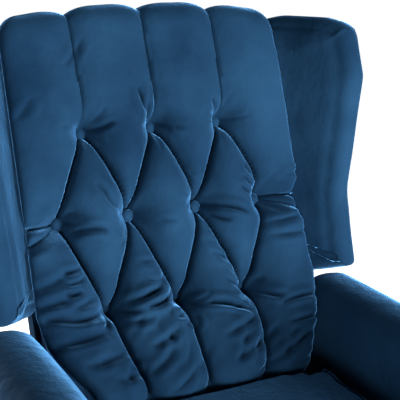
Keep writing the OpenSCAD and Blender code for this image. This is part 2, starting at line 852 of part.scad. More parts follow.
side(1) back_bracket();  // right_back_bracket
back_bracket_bolts();
back_frame();
back_springs();
back_cushion();
back_buttons();
button_ties();
outside_back();
side(-1) wing_board();  // left_wing_board
side(1) wing_board();  // right_wing_board
side(-1) wing_pad();  // left_wing_pad
side(1) wing_pad();  // right_wing_pad
wing_screws();
swing_links();
guide_links();
guide_pins();
carrier_links();
elbow_pins();
footrest_cross_tube();
side(-1) footrest_bracket();  // left_footrest_bracket
side(1) footrest_bracket();  // right_footrest_bracket
footrest_hinge_pins();
footrest_screws();
footrest_board();
footrest_pad();
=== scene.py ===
# %% [markdown]
# # A wing armchair that reclines
# The chair's frame, links and pivots come from the engineering model and stay exactly where they are.
# This lesson adds what an upholsterer and a finisher add: velvet, stuffing, tufts, seams, paint and grain.
# We work in metres, with Z up, and every place is read from the frame.

# %% Load the frame and read its parts' boxes
import json
import math

import bmesh
import bpy
import numpy as np
from mathutils import Matrix, Vector, noise


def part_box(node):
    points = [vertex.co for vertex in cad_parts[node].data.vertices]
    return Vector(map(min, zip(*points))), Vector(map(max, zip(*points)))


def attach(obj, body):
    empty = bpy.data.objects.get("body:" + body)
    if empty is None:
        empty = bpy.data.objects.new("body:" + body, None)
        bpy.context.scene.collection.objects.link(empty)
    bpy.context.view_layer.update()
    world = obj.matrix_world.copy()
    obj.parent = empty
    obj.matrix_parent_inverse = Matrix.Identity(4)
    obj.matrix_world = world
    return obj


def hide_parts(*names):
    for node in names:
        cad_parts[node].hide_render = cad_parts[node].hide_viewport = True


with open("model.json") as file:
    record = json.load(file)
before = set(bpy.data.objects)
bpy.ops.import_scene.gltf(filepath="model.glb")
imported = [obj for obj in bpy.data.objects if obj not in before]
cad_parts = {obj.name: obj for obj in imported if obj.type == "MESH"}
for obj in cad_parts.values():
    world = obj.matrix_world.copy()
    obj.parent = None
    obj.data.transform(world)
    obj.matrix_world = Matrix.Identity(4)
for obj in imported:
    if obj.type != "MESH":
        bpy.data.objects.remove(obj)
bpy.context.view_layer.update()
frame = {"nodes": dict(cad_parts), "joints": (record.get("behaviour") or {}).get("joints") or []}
MM = 0.001


def box_mm(node):
    """The lowest and highest corner of a frame part, in the chair's own millimetres."""
    low, high = (np.array(corner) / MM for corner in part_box(node))
    return low, high


# %% [markdown]
# ## Two places to measure from
# The back leans, so it is easier to shape its padding upright and lean it afterwards. The hinge of the
# back gives the zero point, and `lean` turns a point of the upright back into a point of the chair.
# We could also model everything leaning, but then a level row of buttons would need three numbers each.

# %% The leaning back's own directions
hinge = Vector(next(j for j in frame["joints"] if j["name"] == "back_recline")["pos_m"])
LEAN = math.radians(20.0)


def lean(points):
    """Upright back coordinates (x, rearwards, up) in millimetres to the chair's metres."""
    p = np.asarray(points, float) * MM
    y = hinge.y + p[..., 1] * math.cos(LEAN) + p[..., 2] * math.sin(LEAN)
    z = hinge.z + p[..., 2] * math.cos(LEAN) - p[..., 1] * math.sin(LEAN)
    return np.stack([p[..., 0], y, z], axis=-1)


def upright_box(node):
    """The lowest and highest corner of a frame part, in the upright back's millimetres."""
    p = np.array([v.co for v in frame["nodes"][node].data.vertices])
    dy, dz = p[:, 1] - hinge.y, p[:, 2] - hinge.z
    u = dy * math.cos(LEAN) - dz * math.sin(LEAN)
    v = dy * math.sin(LEAN) + dz * math.cos(LEAN)
    local = np.stack([p[:, 0], u, v], axis=1) / MM
    return local.min(0), local.max(0)


cushion_low, cushion_high = upright_box("back_cushion")
button_low, button_high = upright_box("back_buttons")
print("back cushion, upright, mm:", cushion_low.round(1), cushion_high.round(1))
print("buttons, upright, mm:", button_low.round(1), button_high.round(1))

# %% [markdown]
# ## Outlines with round corners
# Padding has no sharp corners, so every outline here is a list of corners, each with its own radius.
# A bezier curve could give the same shapes, but a radius is what a pattern maker would write down.

# %% Round the corners of an outline and space its points evenly


def rounded(corners, step):
    """A closed outline through (x, y, radius) corners, as points about `step` apart."""
    pts = []
    n = len(corners)
    for i, (x, y, r) in enumerate(corners):
        here = np.array([x, y], float)
        before = np.array(corners[i - 1][:2], float) - here
        after = np.array(corners[(i + 1) % n][:2], float) - here
        la, lb = np.linalg.norm(before), np.linalg.norm(after)
        a, b = before / la, after / lb
        half = 0.5 * math.acos(float(np.clip(a @ b, -1, 1)))
        cut = min(r / math.tan(half), 0.48 * la, 0.48 * lb)
        for t in np.linspace(0, 1, 13):
            one = here + a * cut
            two = here + b * cut
            pts.append((1 - t) ** 2 * one + 2 * t * (1 - t) * here + t**2 * two)
    pts = np.array(pts)
    closed = np.vstack([pts, pts[:1]])
    length = np.r_[0, np.cumsum(np.linalg.norm(np.diff(closed, axis=0), axis=1))]
    count = max(12, int(round(length[-1] / step)))
    at = np.linspace(0, length[-1], count, endpoint=False)
    return np.stack([np.interp(at, length, closed[:, k]) for k in (0, 1)], axis=1)


def box_outline(left, foot, right, top, foot_radius, top_radius, step):
    """A four-cornered outline with one radius for its two lower and one for its two upper corners."""
    lower = [(left, foot, foot_radius), (right, foot, foot_radius)]
    upper = [(right, top, top_radius), (left, top, top_radius)]
    return rounded(lower + upper, step)


def outward(ring):
    """Outward directions of a closed outline that runs clockwise or anticlockwise."""
    d = np.roll(ring, -1, 0) - np.roll(ring, 1, 0)
    n = np.stack([d[:, 1], -d[:, 0]], axis=1)
    n /= np.linalg.norm(n, axis=1, keepdims=True)
    area = np.sum(ring[:, 0] * np.roll(ring[:, 1], -1) - np.roll(ring[:, 0], -1) * ring[:, 1])
    return n if area > 0 else -n


def onto_line(points, line):
    """The nearest point of a line of points to each point."""
    line = np.asarray(line, float)
    best = np.full(len(points), 1e18)
    out = np.zeros_like(points)
    for a, b in zip(line[:-1], line[1:]):
        d = b - a
        t = np.clip(((points - a) @ d) / (d @ d), 0, 1)
        q = a + t[:, None] * d
        dist = np.sum((points - q) ** 2, axis=1)
        near = dist < best
        best[near], out[near] = dist[near], q[near]
    return out


# %% [markdown]
# ## One way to build every pad
# A pad is an outline pulled through its own thickness. At each station across the thickness the outline
# keeps its full size, draws in round the edge, or shrinks onto a middle line to close the face.
# Blender's bevel could round the edges, but here we choose how the cloth's grid runs, so that seams,
# pleats and folds can follow it later.

# %% Stations across a pad, and the closed surface they make


def stations(half, edge, face_steps, across_step, bulge=0.0):
    """Stations (place across, drawn in, share towards the middle line) from one face to the other."""
    turn = np.linspace(0, math.pi / 2, max(4, int(edge * 1.6 / across_step)))
    side = [(half - edge + edge * math.sin(a), edge * (1 - math.cos(a)), 0.0) for a in turn]
    flat = np.linspace(-(half - edge), half - edge, max(2, int(2 * (half - edge) / across_step) + 1))
    middle = [(c, 0.0, 0.0) for c in flat[1:-1]]
    shares = np.linspace(0, 1, face_steps + 1)[1:]
    face = [(half + bulge * (1 - (1 - s) ** 2), edge, s) for s in shares]
    right = side + face
    left = [(-c, i, s) for c, i, s in reversed(right)]
    return left + middle + right


def beads(line, step=14.0):
    """Points about `step` apart along a line, where the two sides of a closed face meet."""
    line = np.asarray(line, float)
    length = np.r_[0, np.cumsum(np.linalg.norm(np.diff(line, axis=0), axis=1))]
    at = np.linspace(0, length[-1], max(2, int(length[-1] / step) + 1))
    return np.stack([np.interp(at, length, line[:, k]) for k in (0, 1)], axis=1)


def ring_faces(rows, count):
    """Four-sided faces between rows of rings that have `count` points each."""
    i, j = np.meshgrid(np.arange(rows - 1), np.arange(count), indexing="ij")
    k = (j + 1) % count
    faces = np.stack([i * count + j, i * count + k, (i + 1) * count + k, (i + 1) * count + j], axis=-1)
    return faces.reshape(-1, 4)


def ripple(a, b, layer):
    """Soft random waves, about -1 to 1, at the places (a, b); each layer has its own waves."""
    flat = [noise.noise(Vector((p, q, layer))) for p, q in zip(a.ravel(), b.ravel())]
    return np.array(flat).reshape(a.shape)


def pad_surface(ring, spine, rows):
    """Points [station, ring, (a, b, across)] and the four-sided faces between them."""
    n = outward(ring)
    joins = beads(spine)
    points = []
    for across, inset, share in rows:
        p = ring - inset * n
        if share > 0.999:
            p = joins[np.argmin(np.linalg.norm(p[:, None] - joins[None], axis=2), axis=1)]
        elif share > 0:
            p = p + share * (onto_line(p, spine) - p)
        points.append(np.column_stack([p, np.full(len(ring), across)]))
    points = np.array(points)
    return points, ring_faces(*points.shape[:2])


def mesh_object(name, points, faces, weld=0.0002):
    """A smooth-shaded mesh object from points in metres, with doubled points joined."""
    mesh = bpy.data.meshes.new(name)
    mesh.from_pydata(np.asarray(points).reshape(-1, 3).tolist(), [], np.asarray(faces).tolist())
    b = bmesh.new()
    b.from_mesh(mesh)
    bmesh.ops.remove_doubles(b, verts=b.verts, dist=weld)
    bmesh.ops.dissolve_degenerate(b, edges=b.edges, dist=weld / 4)
    bmesh.ops.recalc_face_normals(b, faces=b.faces)
    b.to_mesh(mesh)
    b.free()
    mesh.shade_smooth()
    piece = bpy.data.objects.new(name, mesh)
    bpy.context.scene.collection.objects.link(piece)
    return piece


def dress(piece, body, material, nodes=()):
    """Material, body and replaced frame parts, in one place."""
    piece.data.materials.clear()
    piece.data.materials.append(material)
    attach(piece, body)
    if nodes:
        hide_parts(*nodes)
    print(piece.name, len(piece.data.vertices), "points, rides on", body)
    return piece


# %% [markdown]
# ## Velvet
# Velvet is a field of short upright fibres. Looked at straight on we see into the pile and it is dark;
# at a glancing angle the fibre tips catch the light and it turns pale blue. Principled BSDF's sheen does
# that. Brushing leaves soft patches where the nap lies another way, so a broad noise shifts the colour,
# and a very fine one gives the pile its bump. Painted shade: an attribute darkens the colour in the deep
# folds.

# %% The velvet material


def new_material(name):
    """A material with its node tree and its shader."""
    material = bpy.data.materials.new(name)
    material.use_nodes = True
    tree = material.node_tree
    return material, tree, tree.nodes["Principled BSDF"]


def noise_node(tree, coords, scale, detail, rough):
    """Noise that stays put on the piece."""
    n = tree.nodes.new("ShaderNodeTexNoise")
    n.inputs["Scale"].default_value = scale
    n.inputs["Detail"].default_value = detail
    n.inputs["Roughness"].default_value = rough
    tree.links.new(coords.outputs["Object"], n.inputs["Vector"])
    return n


def ramp_node(tree, source, stops):
    """Colours at (place, colour) stops, blended between them."""
    ramp = tree.nodes.new("ShaderNodeValToRGB")
    while len(ramp.color_ramp.elements) < len(stops):
        ramp.color_ramp.elements.new(0.5)
    for element, (at, colour) in zip(ramp.color_ramp.elements, stops):
        element.position = at
        element.color = (*colour, 1.0)
    tree.links.new(source, ramp.inputs["Fac"])
    return ramp


def bump_node(tree, height, strength, distance):
    """Bump from a height, with the distance in metres."""
    bump = tree.nodes.new("ShaderNodeBump")
    bump.inputs["Strength"].default_value = strength
    bump.inputs["Distance"].default_value = distance
    tree.links.new(height, bump.inputs["Height"])
    return bump


def spread_roughness(tree, source, shader, low, high):
    """Roughness between two values, following a pattern."""
    spread = tree.nodes.new("ShaderNodeMapRange")
    spread.inputs["To Min"].default_value = low
    spread.inputs["To Max"].default_value = high
    tree.links.new(source, spread.inputs["Value"])
    tree.links.new(spread.outputs["Result"], shader.inputs["Roughness"])


def velvet_material(name, deep, pale, sheen_tint):
    """Brushed pile: two tones by the nap, painted shade darkening the creases, fine bump and a sheen at
    glancing angles.
    """
    material, tree, shader = new_material(name)
    links = tree.links
    coords = tree.nodes.new("ShaderNodeTexCoord")
    brushed = noise_node(tree, coords, 7.0, 4.0, 0.55)
    tone = ramp_node(tree, brushed.outputs["Fac"], [(0.30, deep), (0.72, pale)])
    # Painted shade: the fold attribute darkens the base colour to 8 percent of the deep tone in the creases.
    crease_shade = tree.nodes.new("ShaderNodeAttribute")
    crease_shade.attribute_name = "fold"
    shade = tree.nodes.new("ShaderNodeMix")
    shade.data_type = "RGBA"
    shade.inputs["B"].default_value = (*[c * 0.08 for c in deep], 1.0)
    links.new(crease_shade.outputs["Fac"], shade.inputs["Factor"])
    links.new(tone.outputs["Color"], shade.inputs["A"])
    links.new(shade.outputs["Result"], shader.inputs["Base Color"])
    pile = noise_node(tree, coords, 1400.0, 2.0, 0.6)
    weave = noise_node(tree, coords, 220.0, 2.0, 0.5)
    mixed = tree.nodes.new("ShaderNodeMath")
    mixed.operation = "MULTIPLY_ADD"
    mixed.inputs[1].default_value = 0.6
    links.new(pile.outputs["Fac"], mixed.inputs[0])
    links.new(weave.outputs["Fac"], mixed.inputs[2])
    bump = bump_node(tree, mixed.outputs["Value"], 0.25, 0.0006)
    nap = noise_node(tree, coords, 38.0, 5.0, 0.6)
    lay = bump_node(tree, nap.outputs["Fac"], 0.35, 0.006)
    links.new(bump.outputs["Normal"], lay.inputs["Normal"])
    links.new(lay.outputs["Normal"], shader.inputs["Normal"])
    spread_roughness(tree, brushed.outputs["Fac"], shader, 0.62, 0.82)
    shader.inputs["Specular IOR Level"].default_value = 0.03
    shader.inputs["Specular Tint"].default_value = (0.15, 0.45, 1.0, 1.0)
    shader.inputs["Sheen Weight"].default_value = 1.0
    shader.inputs["Sheen Roughness"].default_value = 0.30
    shader.inputs["Sheen Tint"].default_value = (*sheen_tint, 1.0)
    return material


VELVET = velvet_material("navy_velvet", (0.0036, 0.0140, 0.033), (0.0085, 0.031, 0.066), (0.15, 0.47, 0.96))
print("velvet ready")

# %% [markdown]
# ## The tufted back cushion
# On the real chair a fat foam and fibre cushion is covered with one piece of velvet. Buttons pull it in
# through the stuffing in rows of three, four and three, and the spare cloth between two buttons is
# folded into a pleat, so the face becomes diamonds. We could sculpt that, or let the cloth solver find
# it, but the pleats have to run exactly from button to button, so we lay out the cloth flat, draw the
# pleats on it, and push every point in by how near it lies to a pleat.

# %% The side outline of the cushion and the cloth laid over it
rear_u = cushion_high[1]
nose_u, foot_v, top_v = cushion_low[1], cushion_low[2], cushion_high[2]
half_w = cushion_high[0]
edge_drop = 0.9 * (top_v - upright_box("right_wing_pad")[1][2])
face_u = button_low[1] - 25.0
CLOTH_STEP = 2.6
SIDE_EDGE = 24.0
TOP_LIFT = 9.0
back_ring = rounded(
    [
        (rear_u - 2, foot_v - 2, 14), (nose_u + 40, foot_v + 4, 34), (nose_u + 2, foot_v + 40, 40),
        (face_u - 16, foot_v + 142, 90), (face_u, foot_v + 215, 120), (face_u + 1, top_v - 125, 160),
        (face_u + 6, top_v + TOP_LIFT, 46), (rear_u + 38, top_v + TOP_LIFT, 40),
        (rear_u + 38, top_v - 34, 8), (rear_u - 2, top_v - 36, 4),
    ],
    CLOTH_STEP,
)
print("side outline", len(back_ring), "points, face at", round(face_u, 1))

# %% [markdown]
# Only the front of the cushion shows, so the cloth's grid is fine there and coarse at the rear, where the
# frame covers it. The lengths along the outline become the cloth's own "up" measure, so that a pleat
# drawn on flat cloth keeps its length when the cloth bends over the top roll.

# %% Fine cloth in front, coarse cloth behind
keep = np.ones(len(back_ring), bool)
hidden = (back_ring[:, 0] > rear_u - 3.5) & (back_ring[:, 1] < top_v - 38)
keep[hidden] = np.arange(hidden.sum()) % 6 == 0
back_ring = back_ring[keep]
ring_normal = outward(back_ring)
step_length = np.linalg.norm(np.diff(np.vstack([back_ring, back_ring[:1]]), axis=0), axis=1)
ring_s = np.r_[0, np.cumsum(step_length)][:-1]
total_s = step_length.sum()
rising = np.where((back_ring[:, 0] < rear_u - 12) & (back_ring[:, 1] > foot_v + 30))[0]
rising = rising[np.argsort(back_ring[rising, 1])]
rising = rising[back_ring[rising, 1] < top_v - 3]


def cloth_up(v):
    """How far up the cloth a height on the back's face lies."""
    return float(np.interp(v, back_ring[rising, 1], ring_s[rising]))


FOOT_HALF, WIDENING = 183.0, 138.0


def width_share(v):
    """The cushion narrows towards its foot to sit between the arms."""
    t = np.clip((v - foot_v) / WIDENING, 0, 1)
    return (FOOT_HALF + (half_w - FOOT_HALF) * t * t * (3 - 2 * t)) / half_w


# %% [markdown]
# ### Buttons and pleats, drawn on flat cloth
# The three rows alternate, so each button is joined to its neighbours in the next row by a pleat. From
# the top row a sewn seam runs over the top roll, and from the bottom row a pleat runs down over the
# lumbar. Each pleat has a depth share, how deeply it pulls, and a reach, how far its pillow curves.

# %% The tufting plan
row_gap, button_gap = 142.0, 124.0
middle_row = 0.5 * (button_low[2] + button_high[2])
rows_v = {"low": middle_row - row_gap, "middle": middle_row, "high": middle_row + row_gap}
threes = [-button_gap, 0.0, button_gap]
fours = [-1.46 * button_gap, -0.5 * button_gap, 0.5 * button_gap, 1.46 * button_gap]
outer_x = fours[-1]
buttons = [(x, rows_v["high"]) for x in threes] + [(x, rows_v["middle"]) for x in fours]
buttons += [(x, rows_v["low"]) for x in threes]
s_high, s_mid, s_low = (cloth_up(rows_v[k]) for k in ("high", "middle", "low"))
s_over = cloth_up(top_v - 4) + 62.0
s_foot = cloth_up(foot_v + 32) - 8.0

pleats = []


def pleat(x0, s0, x1, s1, bend=0.0, pull=1.0, reach=57.0, sewn=False):
    """A slightly curved pleat as a row of short straight pieces."""
    t = np.linspace(0, 1, 9)
    dx, ds = x1 - x0, s1 - s0
    length = math.hypot(dx, ds)
    sway = bend * 4 * t * (1 - t)
    line = np.stack([x0 + dx * t - ds / length * sway, s0 + ds * t + dx / length * sway], axis=1)
    pleats.append({"line": line, "pull": pull, "reach": reach, "sewn": sewn})


for x in threes:
    for side in (-1, 1):
        end = x + side * button_gap / 2
        end = math.copysign(min(abs(end), outer_x), end)
        pleat(x, s_high, end, s_mid, bend=side * 4.0)
        pleat(x, s_low, end, s_mid, bend=-side * 4.0)
    pleat(x, s_high, x * 1.03, s_over, bend=1.5, pull=0.46, reach=54, sewn=True)
    pleat(x, s_low, x + 2, s_foot, bend=2.0, pull=0.72, reach=52)
for side in (-1, 1):
    edge_x = side * (half_w + 6)
    pleat(side * outer_x, s_mid, edge_x, s_mid - 3, bend=2, pull=0.95, reach=42)
    pleat(side * outer_x, s_mid, edge_x, s_mid - 34, bend=3, pull=0.45, reach=18)
print(len(buttons), "buttons,", len(pleats), "pleats; cloth runs up", round(s_over), "mm")

# %% [markdown]
# ### Loose folds
# Velvet is stretched round a pillow in two directions at once, which it can't quite do. The spare cloth
# runs into the buttons as slender folds, each with a groove and the roll of cloth beside it. The list
# below was worked out by a separate script from measured places. Each row holds two ends, in millimetres
# of the upright back, then a depth, a width and a bend. The other folds come from a fixed seed.

# %% Measured folds and folds from a seed
folds = [
    (-114, 556, -80, 566, 4, 4.5, -3), (-117, 547, -99, 526, 3, 4, 2), (-96, 483, -73, 465, 3, 5, -2),
    (-125, 473, -78, 425, 4.5, 7, -5), (-116, 449, -79, 416, 3.5, 5, -4),
    (-169, 394, -117, 393, 6, 6, 5), (-172, 414, -153, 407, 3.5, 4, -2),
    (-101, 368, -84, 371, 2.5, 5, -1), (-32, 620, -9, 562, 6, 5.5, -4), (-14, 606, -7, 558, 5, 4, -3),
    (7, 561, 22, 539, 3.5, 4, 2), (10, 562, 44, 542, 3, 5, -3), (40, 473, 63, 463, 2.5, 5, -1),
    (44, 454, 65, 438, 2.5, 5, -1), (23, 427, 53, 427, 3.5, 4, -2), (26, 418, 53, 418, 3.5, 3.6, 2),
    (37, 407, 54, 408, 3, 3.6, -1), (-30, 401, 4, 394, 1.8, 5, -2), (67, 412, 137, 390, 6, 5, 4),
    (70, 398, 106, 381, 4.5, 4.5, -3), (101, 594, 128, 550, 5.5, 5, -4),
    (95, 577, 122, 550, 4.5, 4.5, -3), (142, 474, 168, 442, 3.5, 5, -3), (135, 457, 165, 425, 4, 5, -3),
    (126, 440, 160, 417, 3.5, 5, -3), (50, 358, 103, 334, 2.5, 6, -3), (56, 338, 112, 313, 3.5, 6, -4),
    (79, 311, 123, 288, 3.5, 5, -3), (72, 287, 126, 267, 3.5, 5, -4), (74, 330, 118, 301, 2.5, 5, -3),
    (-75, 338, -35, 333, 3, 5.5, -2), (-64, 302, -22, 311, 4.5, 5.5, -4),
    (-102, 277, -26, 302, 7.5, 6, -6), (-78, 264, -18, 283, 7.5, 5.5, -6),
    (-35, 262, -6, 271, 5.5, 4.5, -3), (-32, 241, 0, 249, 5, 5, -4), (-18, 224, 3, 242, 4, 4.5, -3),
    (2, 215, 7, 244, 3.5, 4.5, -3), (11, 256, 111, 225, 7.5, 5.5, 7), (14, 261, 39, 266, 4, 4, -2),
    (135, 264, 170, 242, 6, 5.5, -4), (-190, 336, -157, 340, 5.5, 5.5, -3),
    (-192, 318, -156, 324, 5, 5, -3), (-194, 304, -167, 305, 4.5, 5, -3),
    (-252, 294, -163, 302, 5, 7, -8), (-219, 271, -134, 271, 9, 7, -10),
    (-153, 240, -133, 263, 6, 5, -4), (-116, 251, -64, 245, 4.5, 6, -4),
    (-110, 268, -85, 257, 3.5, 5, -2), (-147, 665, -112, 709, 3, 6, -3),
    (-233, 372, -197, 399, 4, 6, -4), (-237, 315, -173, 340, 4.5, 7, -5),
    (-237, 268, -144, 294, 5, 7, -6), (-233, 233, -142, 239, 5.5, 7, -6),
    (-205, 191, -123, 208, 5, 7, -5), (-175, 162, -107, 177, 4, 6, -4),
    (-116, 163, -42, 197, 3.5, 6, -4), (-94, 126, -18, 164, 4, 6, -5), (-90, 201, -27, 224, 4, 6, -4),
    (41, 197, 126, 226, 4, 6, -4), (49, 157, 155, 200, 4.5, 6.5, -5), (74, 117, 191, 162, 4, 6, -5),
    (122, 144, 234, 190, 4.5, 6, -4), (160, 232, 246, 237, 4, 5, 3), (163, 199, 254, 210, 4, 5, -3),
    (195, 136, 259, 157, 4, 5, -3), (169, 367, 235, 380, 4, 5, -3), (166, 346, 234, 348, 3, 5, -3),
    (194, 444, 243, 460, 3, 5, -3), (241, 657, 273, 697, 4, 5, -3), (222, 670, 268, 721, 4, 5, -3),
    (-219, 583, -199, 625, 3, 6, -3), (-229, 410, -192, 413, 5, 5, -3),
]
seeded = np.random.default_rng(7)
for bx, bv in buttons:
    for k in range(4):
        turn = 2 * math.pi * (k + seeded.uniform(-0.45, 0.45)) / 4
        near, far = seeded.uniform(10, 15), seeded.uniform(26, 58)
        ends = [bx + near * math.cos(turn), bv + near * math.sin(turn)]
        ends += [bx + far * math.cos(turn), bv + far * math.sin(turn)]
        folds.append((*ends, seeded.uniform(0.8, 2.2), seeded.uniform(3.2, 4.6), seeded.uniform(-4, 4)))
for k in range(16):
    x0, v0 = seeded.uniform(-205, 205), seeded.uniform(foot_v + 35, rows_v["low"] - 20)
    length, tilt = seeded.uniform(40, 85), math.radians(seeded.uniform(15, 75))
    x1, v1 = x0 + length * math.cos(tilt), v0 + length * math.sin(tilt)
    if x1 < 210:
        depth, width, bend = seeded.uniform(1.2, 2.8), seeded.uniform(4.5, 7.5), seeded.uniform(-7, 7)
        folds.append((x0, v0, x1, v1, depth, width, bend))
print(len(folds), "folds")


def fold_height(x, s, fold):
    """A groove with a roll of cloth on one side, fading at both ends."""
    x0, v0, x1, v1, depth, width, bend = fold
    s0, s1 = cloth_up(v0), cloth_up(v1)
    dx, ds = x1 - x0, s1 - s0
    length = math.hypot(dx, ds)
    t = ((x - x0) * dx + (s - s0) * ds) / length**2
    q = ((s - s0) * dx - (x - x0) * ds) / length - bend * 4 * t * (1 - t)
    fade = np.where((t > 0) & (t < 1), np.sin(math.pi * np.clip(t, 0, 1)) ** 0.7, 0.0)
    groove = np.exp(-((q / width) ** 2))
    roll = 0.75 * np.exp(-(((np.abs(q) - 1.9 * width) / (1.2 * width)) ** 2))
    return depth * fade * (roll - groove)


def pleat_distance(points, line):
    """Distance to a pleat and the nearest point on it."""
    near = onto_line(points, line)
    return np.linalg.norm(points - near, axis=1), near


# %% [markdown]
# ### From flat cloth to pillows
# A stuffed pillow rises steeply from its pleat and flattens towards its crown, like a quarter of a
# circle. Multiplying the rise from every pleat gives diamonds with smooth crowns, where taking the
# nearest pleat alone would leave ridges. Grid points close to a pleat are slid onto it, so that a slanting
# pleat is one clean crease and not a staircase.

# %% Build the tufted cushion
PILLOW, DIMPLE, CROWN = 36.0, 23.0, 4.0
rows = stations(half_w, SIDE_EDGE, 8, CLOTH_STEP)
across = np.array([r[0] for r in rows])[:, None] + 0 * ring_s[None, :]
inset = np.array([r[1] for r in rows])[:, None] + 0 * ring_s[None, :]
share = np.array([r[2] for r in rows])[:, None] + 0 * ring_s[None, :]
up = np.array([ring_s] * len(rows))
square_rear = np.clip((rear_u - 4 - back_ring[:, 0]) / 25.0, 0, 1)
inset *= square_rear[None, :]
front = (share == 0) & (up > s_foot - 30) & (up < s_over + 10)
flat = np.stack([across[front], up[front]], axis=1)

nearest = np.full(len(flat), 1e9)
slid = flat.copy()
rise = np.ones(len(flat))
seam_ridge = np.zeros(len(flat))
slit = np.zeros(len(flat))
for p in pleats:
    d, near = pleat_distance(flat, p["line"])
    closer = d < nearest
    nearest[closer] = d[closer]
    snap = closer & (d < 0.55 * CLOTH_STEP)
    slid[snap] = near[snap]
for p in pleats:
    d, near = pleat_distance(slid, p["line"])
    t = np.clip(d / p["reach"], 0, 1)
    rise *= 1 - p["pull"] * (1 - np.sqrt(1 - (1 - t) ** 2))
    if p["sewn"]:
        seam_ridge += 3.2 * np.exp(-((d / 2.4) ** 2))
    else:
        slit = np.maximum(slit, 7.0 * p["pull"] * np.exp(-((d / 2.6) ** 2)))
dimple = np.zeros(len(flat))
for bx, bv in buttons:
    d = np.hypot(slid[:, 0] - bx, slid[:, 1] - cloth_up(bv))
    outer = abs(bx) > 1.4 * button_gap
    dimple += (DIMPLE + 8 * outer) * np.exp(-((d / (19.0 + 5 * outer)) ** 2))
height = CROWN - (PILLOW + CROWN) * (1 - rise) - dimple - slit + seam_ridge
fade_edge = 1 - 0.55 * np.clip(inset[front] / SIDE_EDGE, 0, 1)
for f in folds:
    height += fold_height(slid[:, 0], slid[:, 1], f) * np.clip(nearest / 7.0, 0.15, 1)
lumps = np.array([noise.noise(Vector((x / 60, s / 60, 3.1))) for x, s in slid])
height += 2.4 * lumps * rise
height *= fade_edge

across[front], up[front] = slid[:, 0], slid[:, 1]
wrapped = np.r_[ring_s, total_s]
ring_u = np.interp(up, wrapped, np.r_[back_ring[:, 0], back_ring[0, 0]])
ring_v = np.interp(up, wrapped, np.r_[back_ring[:, 1], back_ring[0, 1]])
out_u = np.interp(up, wrapped, np.r_[ring_normal[:, 0], ring_normal[0, 0]])
out_v = np.interp(up, wrapped, np.r_[ring_normal[:, 1], ring_normal[0, 1]])
relief = np.zeros(up.shape)
relief[front] = height
droop = np.zeros(up.shape)
droop[front] = 5.0 * (rise - 0.5) * fade_edge
pos_u = ring_u + (relief - inset) * out_u
pos_v = ring_v + (relief - inset) * out_v - droop
spine = [(rear_u - 60, foot_v + 60), (rear_u - 50, foot_v + 200), (rear_u - 46, top_v - 60)]
middle = onto_line(np.stack([pos_u.ravel(), pos_v.ravel()], axis=1), spine).reshape(*pos_u.shape, 2)
pos_u += share * (middle[..., 0] - pos_u)
pos_v += share * (middle[..., 1] - pos_v)
pos_x = across * width_share(pos_v)
at_edge = np.clip(np.abs(across) / half_w, 0, 1) ** 5
above_foot = np.clip((pos_v - foot_v - 60) / 120, 0, 1)
pos_x += np.sign(across) * at_edge * 0.42 * np.clip(-26.0 - pos_u, 0, 70) * above_foot
pos_v -= edge_drop * (pos_x / half_w) ** 2 * np.clip((pos_v - rows_v["high"]) / 100.0, 0, 1)
_, grid_faces = pad_surface(back_ring, spine, rows)
back_cloth = mesh_object("back_cushion_cover", lean(np.stack([pos_x, pos_u, pos_v], axis=-1)), grid_faces)
print("pillows rise", PILLOW, "mm; grid", up.shape)

# %% [markdown]
# Painted shade darkens the creases: it stands in for the shade that falls there. We measure how sharply
# the cloth folds inwards at each point and keep that as an attribute that darkens the velvet's colour.

# %% Mark the folds for the painted shade in the velvet


def mark_crease_shade(piece, strength=1.0):
    """Store how hollow the cloth is at each point, from 0 on a crown to 1 in a deep fold, for painted shade.
    """
    mesh = piece.data
    n = len(mesh.vertices)
    co = np.empty(n * 3)
    no = np.empty(n * 3)
    mesh.vertices.foreach_get("co", co)
    mesh.vertices.foreach_get("normal", no)
    co, no = co.reshape(-1, 3), no.reshape(-1, 3)
    ends = np.empty(len(mesh.edges) * 2, int)
    mesh.edges.foreach_get("vertices", ends)
    a, b = ends[0::2], ends[1::2]
    d = co[b] - co[a]
    length = np.linalg.norm(d, axis=1) + 1e-9
    hollow = np.zeros(n)
    count = np.zeros(n)
    np.add.at(hollow, a, np.einsum("ij,ij->i", d, no[a]) / length)
    np.add.at(hollow, b, -np.einsum("ij,ij->i", d, no[b]) / length)
    np.add.at(count, a, 1)
    np.add.at(count, b, 1)
    value = hollow / np.maximum(count, 1)
    for _ in range(3):
        total = np.zeros(n)
        np.add.at(total, a, value[b])
        np.add.at(total, b, value[a])
        value = 0.5 * value + 0.5 * total / np.maximum(count, 1)
    value = np.clip(value * 6.0 * strength, 0, 1)
    layer = mesh.attributes.new("fold", "FLOAT", "POINT")
    layer.data.foreach_set("value", value.astype(np.float32))


mark_crease_shade(back_cloth)
dress(back_cloth, "back", VELVET, ["back_cushion"])

# %% [markdown]
# ## Covered buttons
# Each button is a metal shell with velvet stretched over it, pulled into the dimple by a twine that runs
# through the stuffing. A half-round outline spun about its own axis gives the shape. A squashed sphere
# would be quicker, but its edge wouldn't turn under the way the cloth does.

# %% Ten covered buttons


def spun(outline, turns=28):
    """Points and faces of an outline (radius, height) spun about an upright axis."""
    angle = np.linspace(0, 2 * math.pi, turns, endpoint=False)
    pts = np.array([[[r * math.cos(a), r * math.sin(a), h] for a in angle] for r, h in outline])
    return pts.reshape(-1, 3), ring_faces(len(outline), turns)


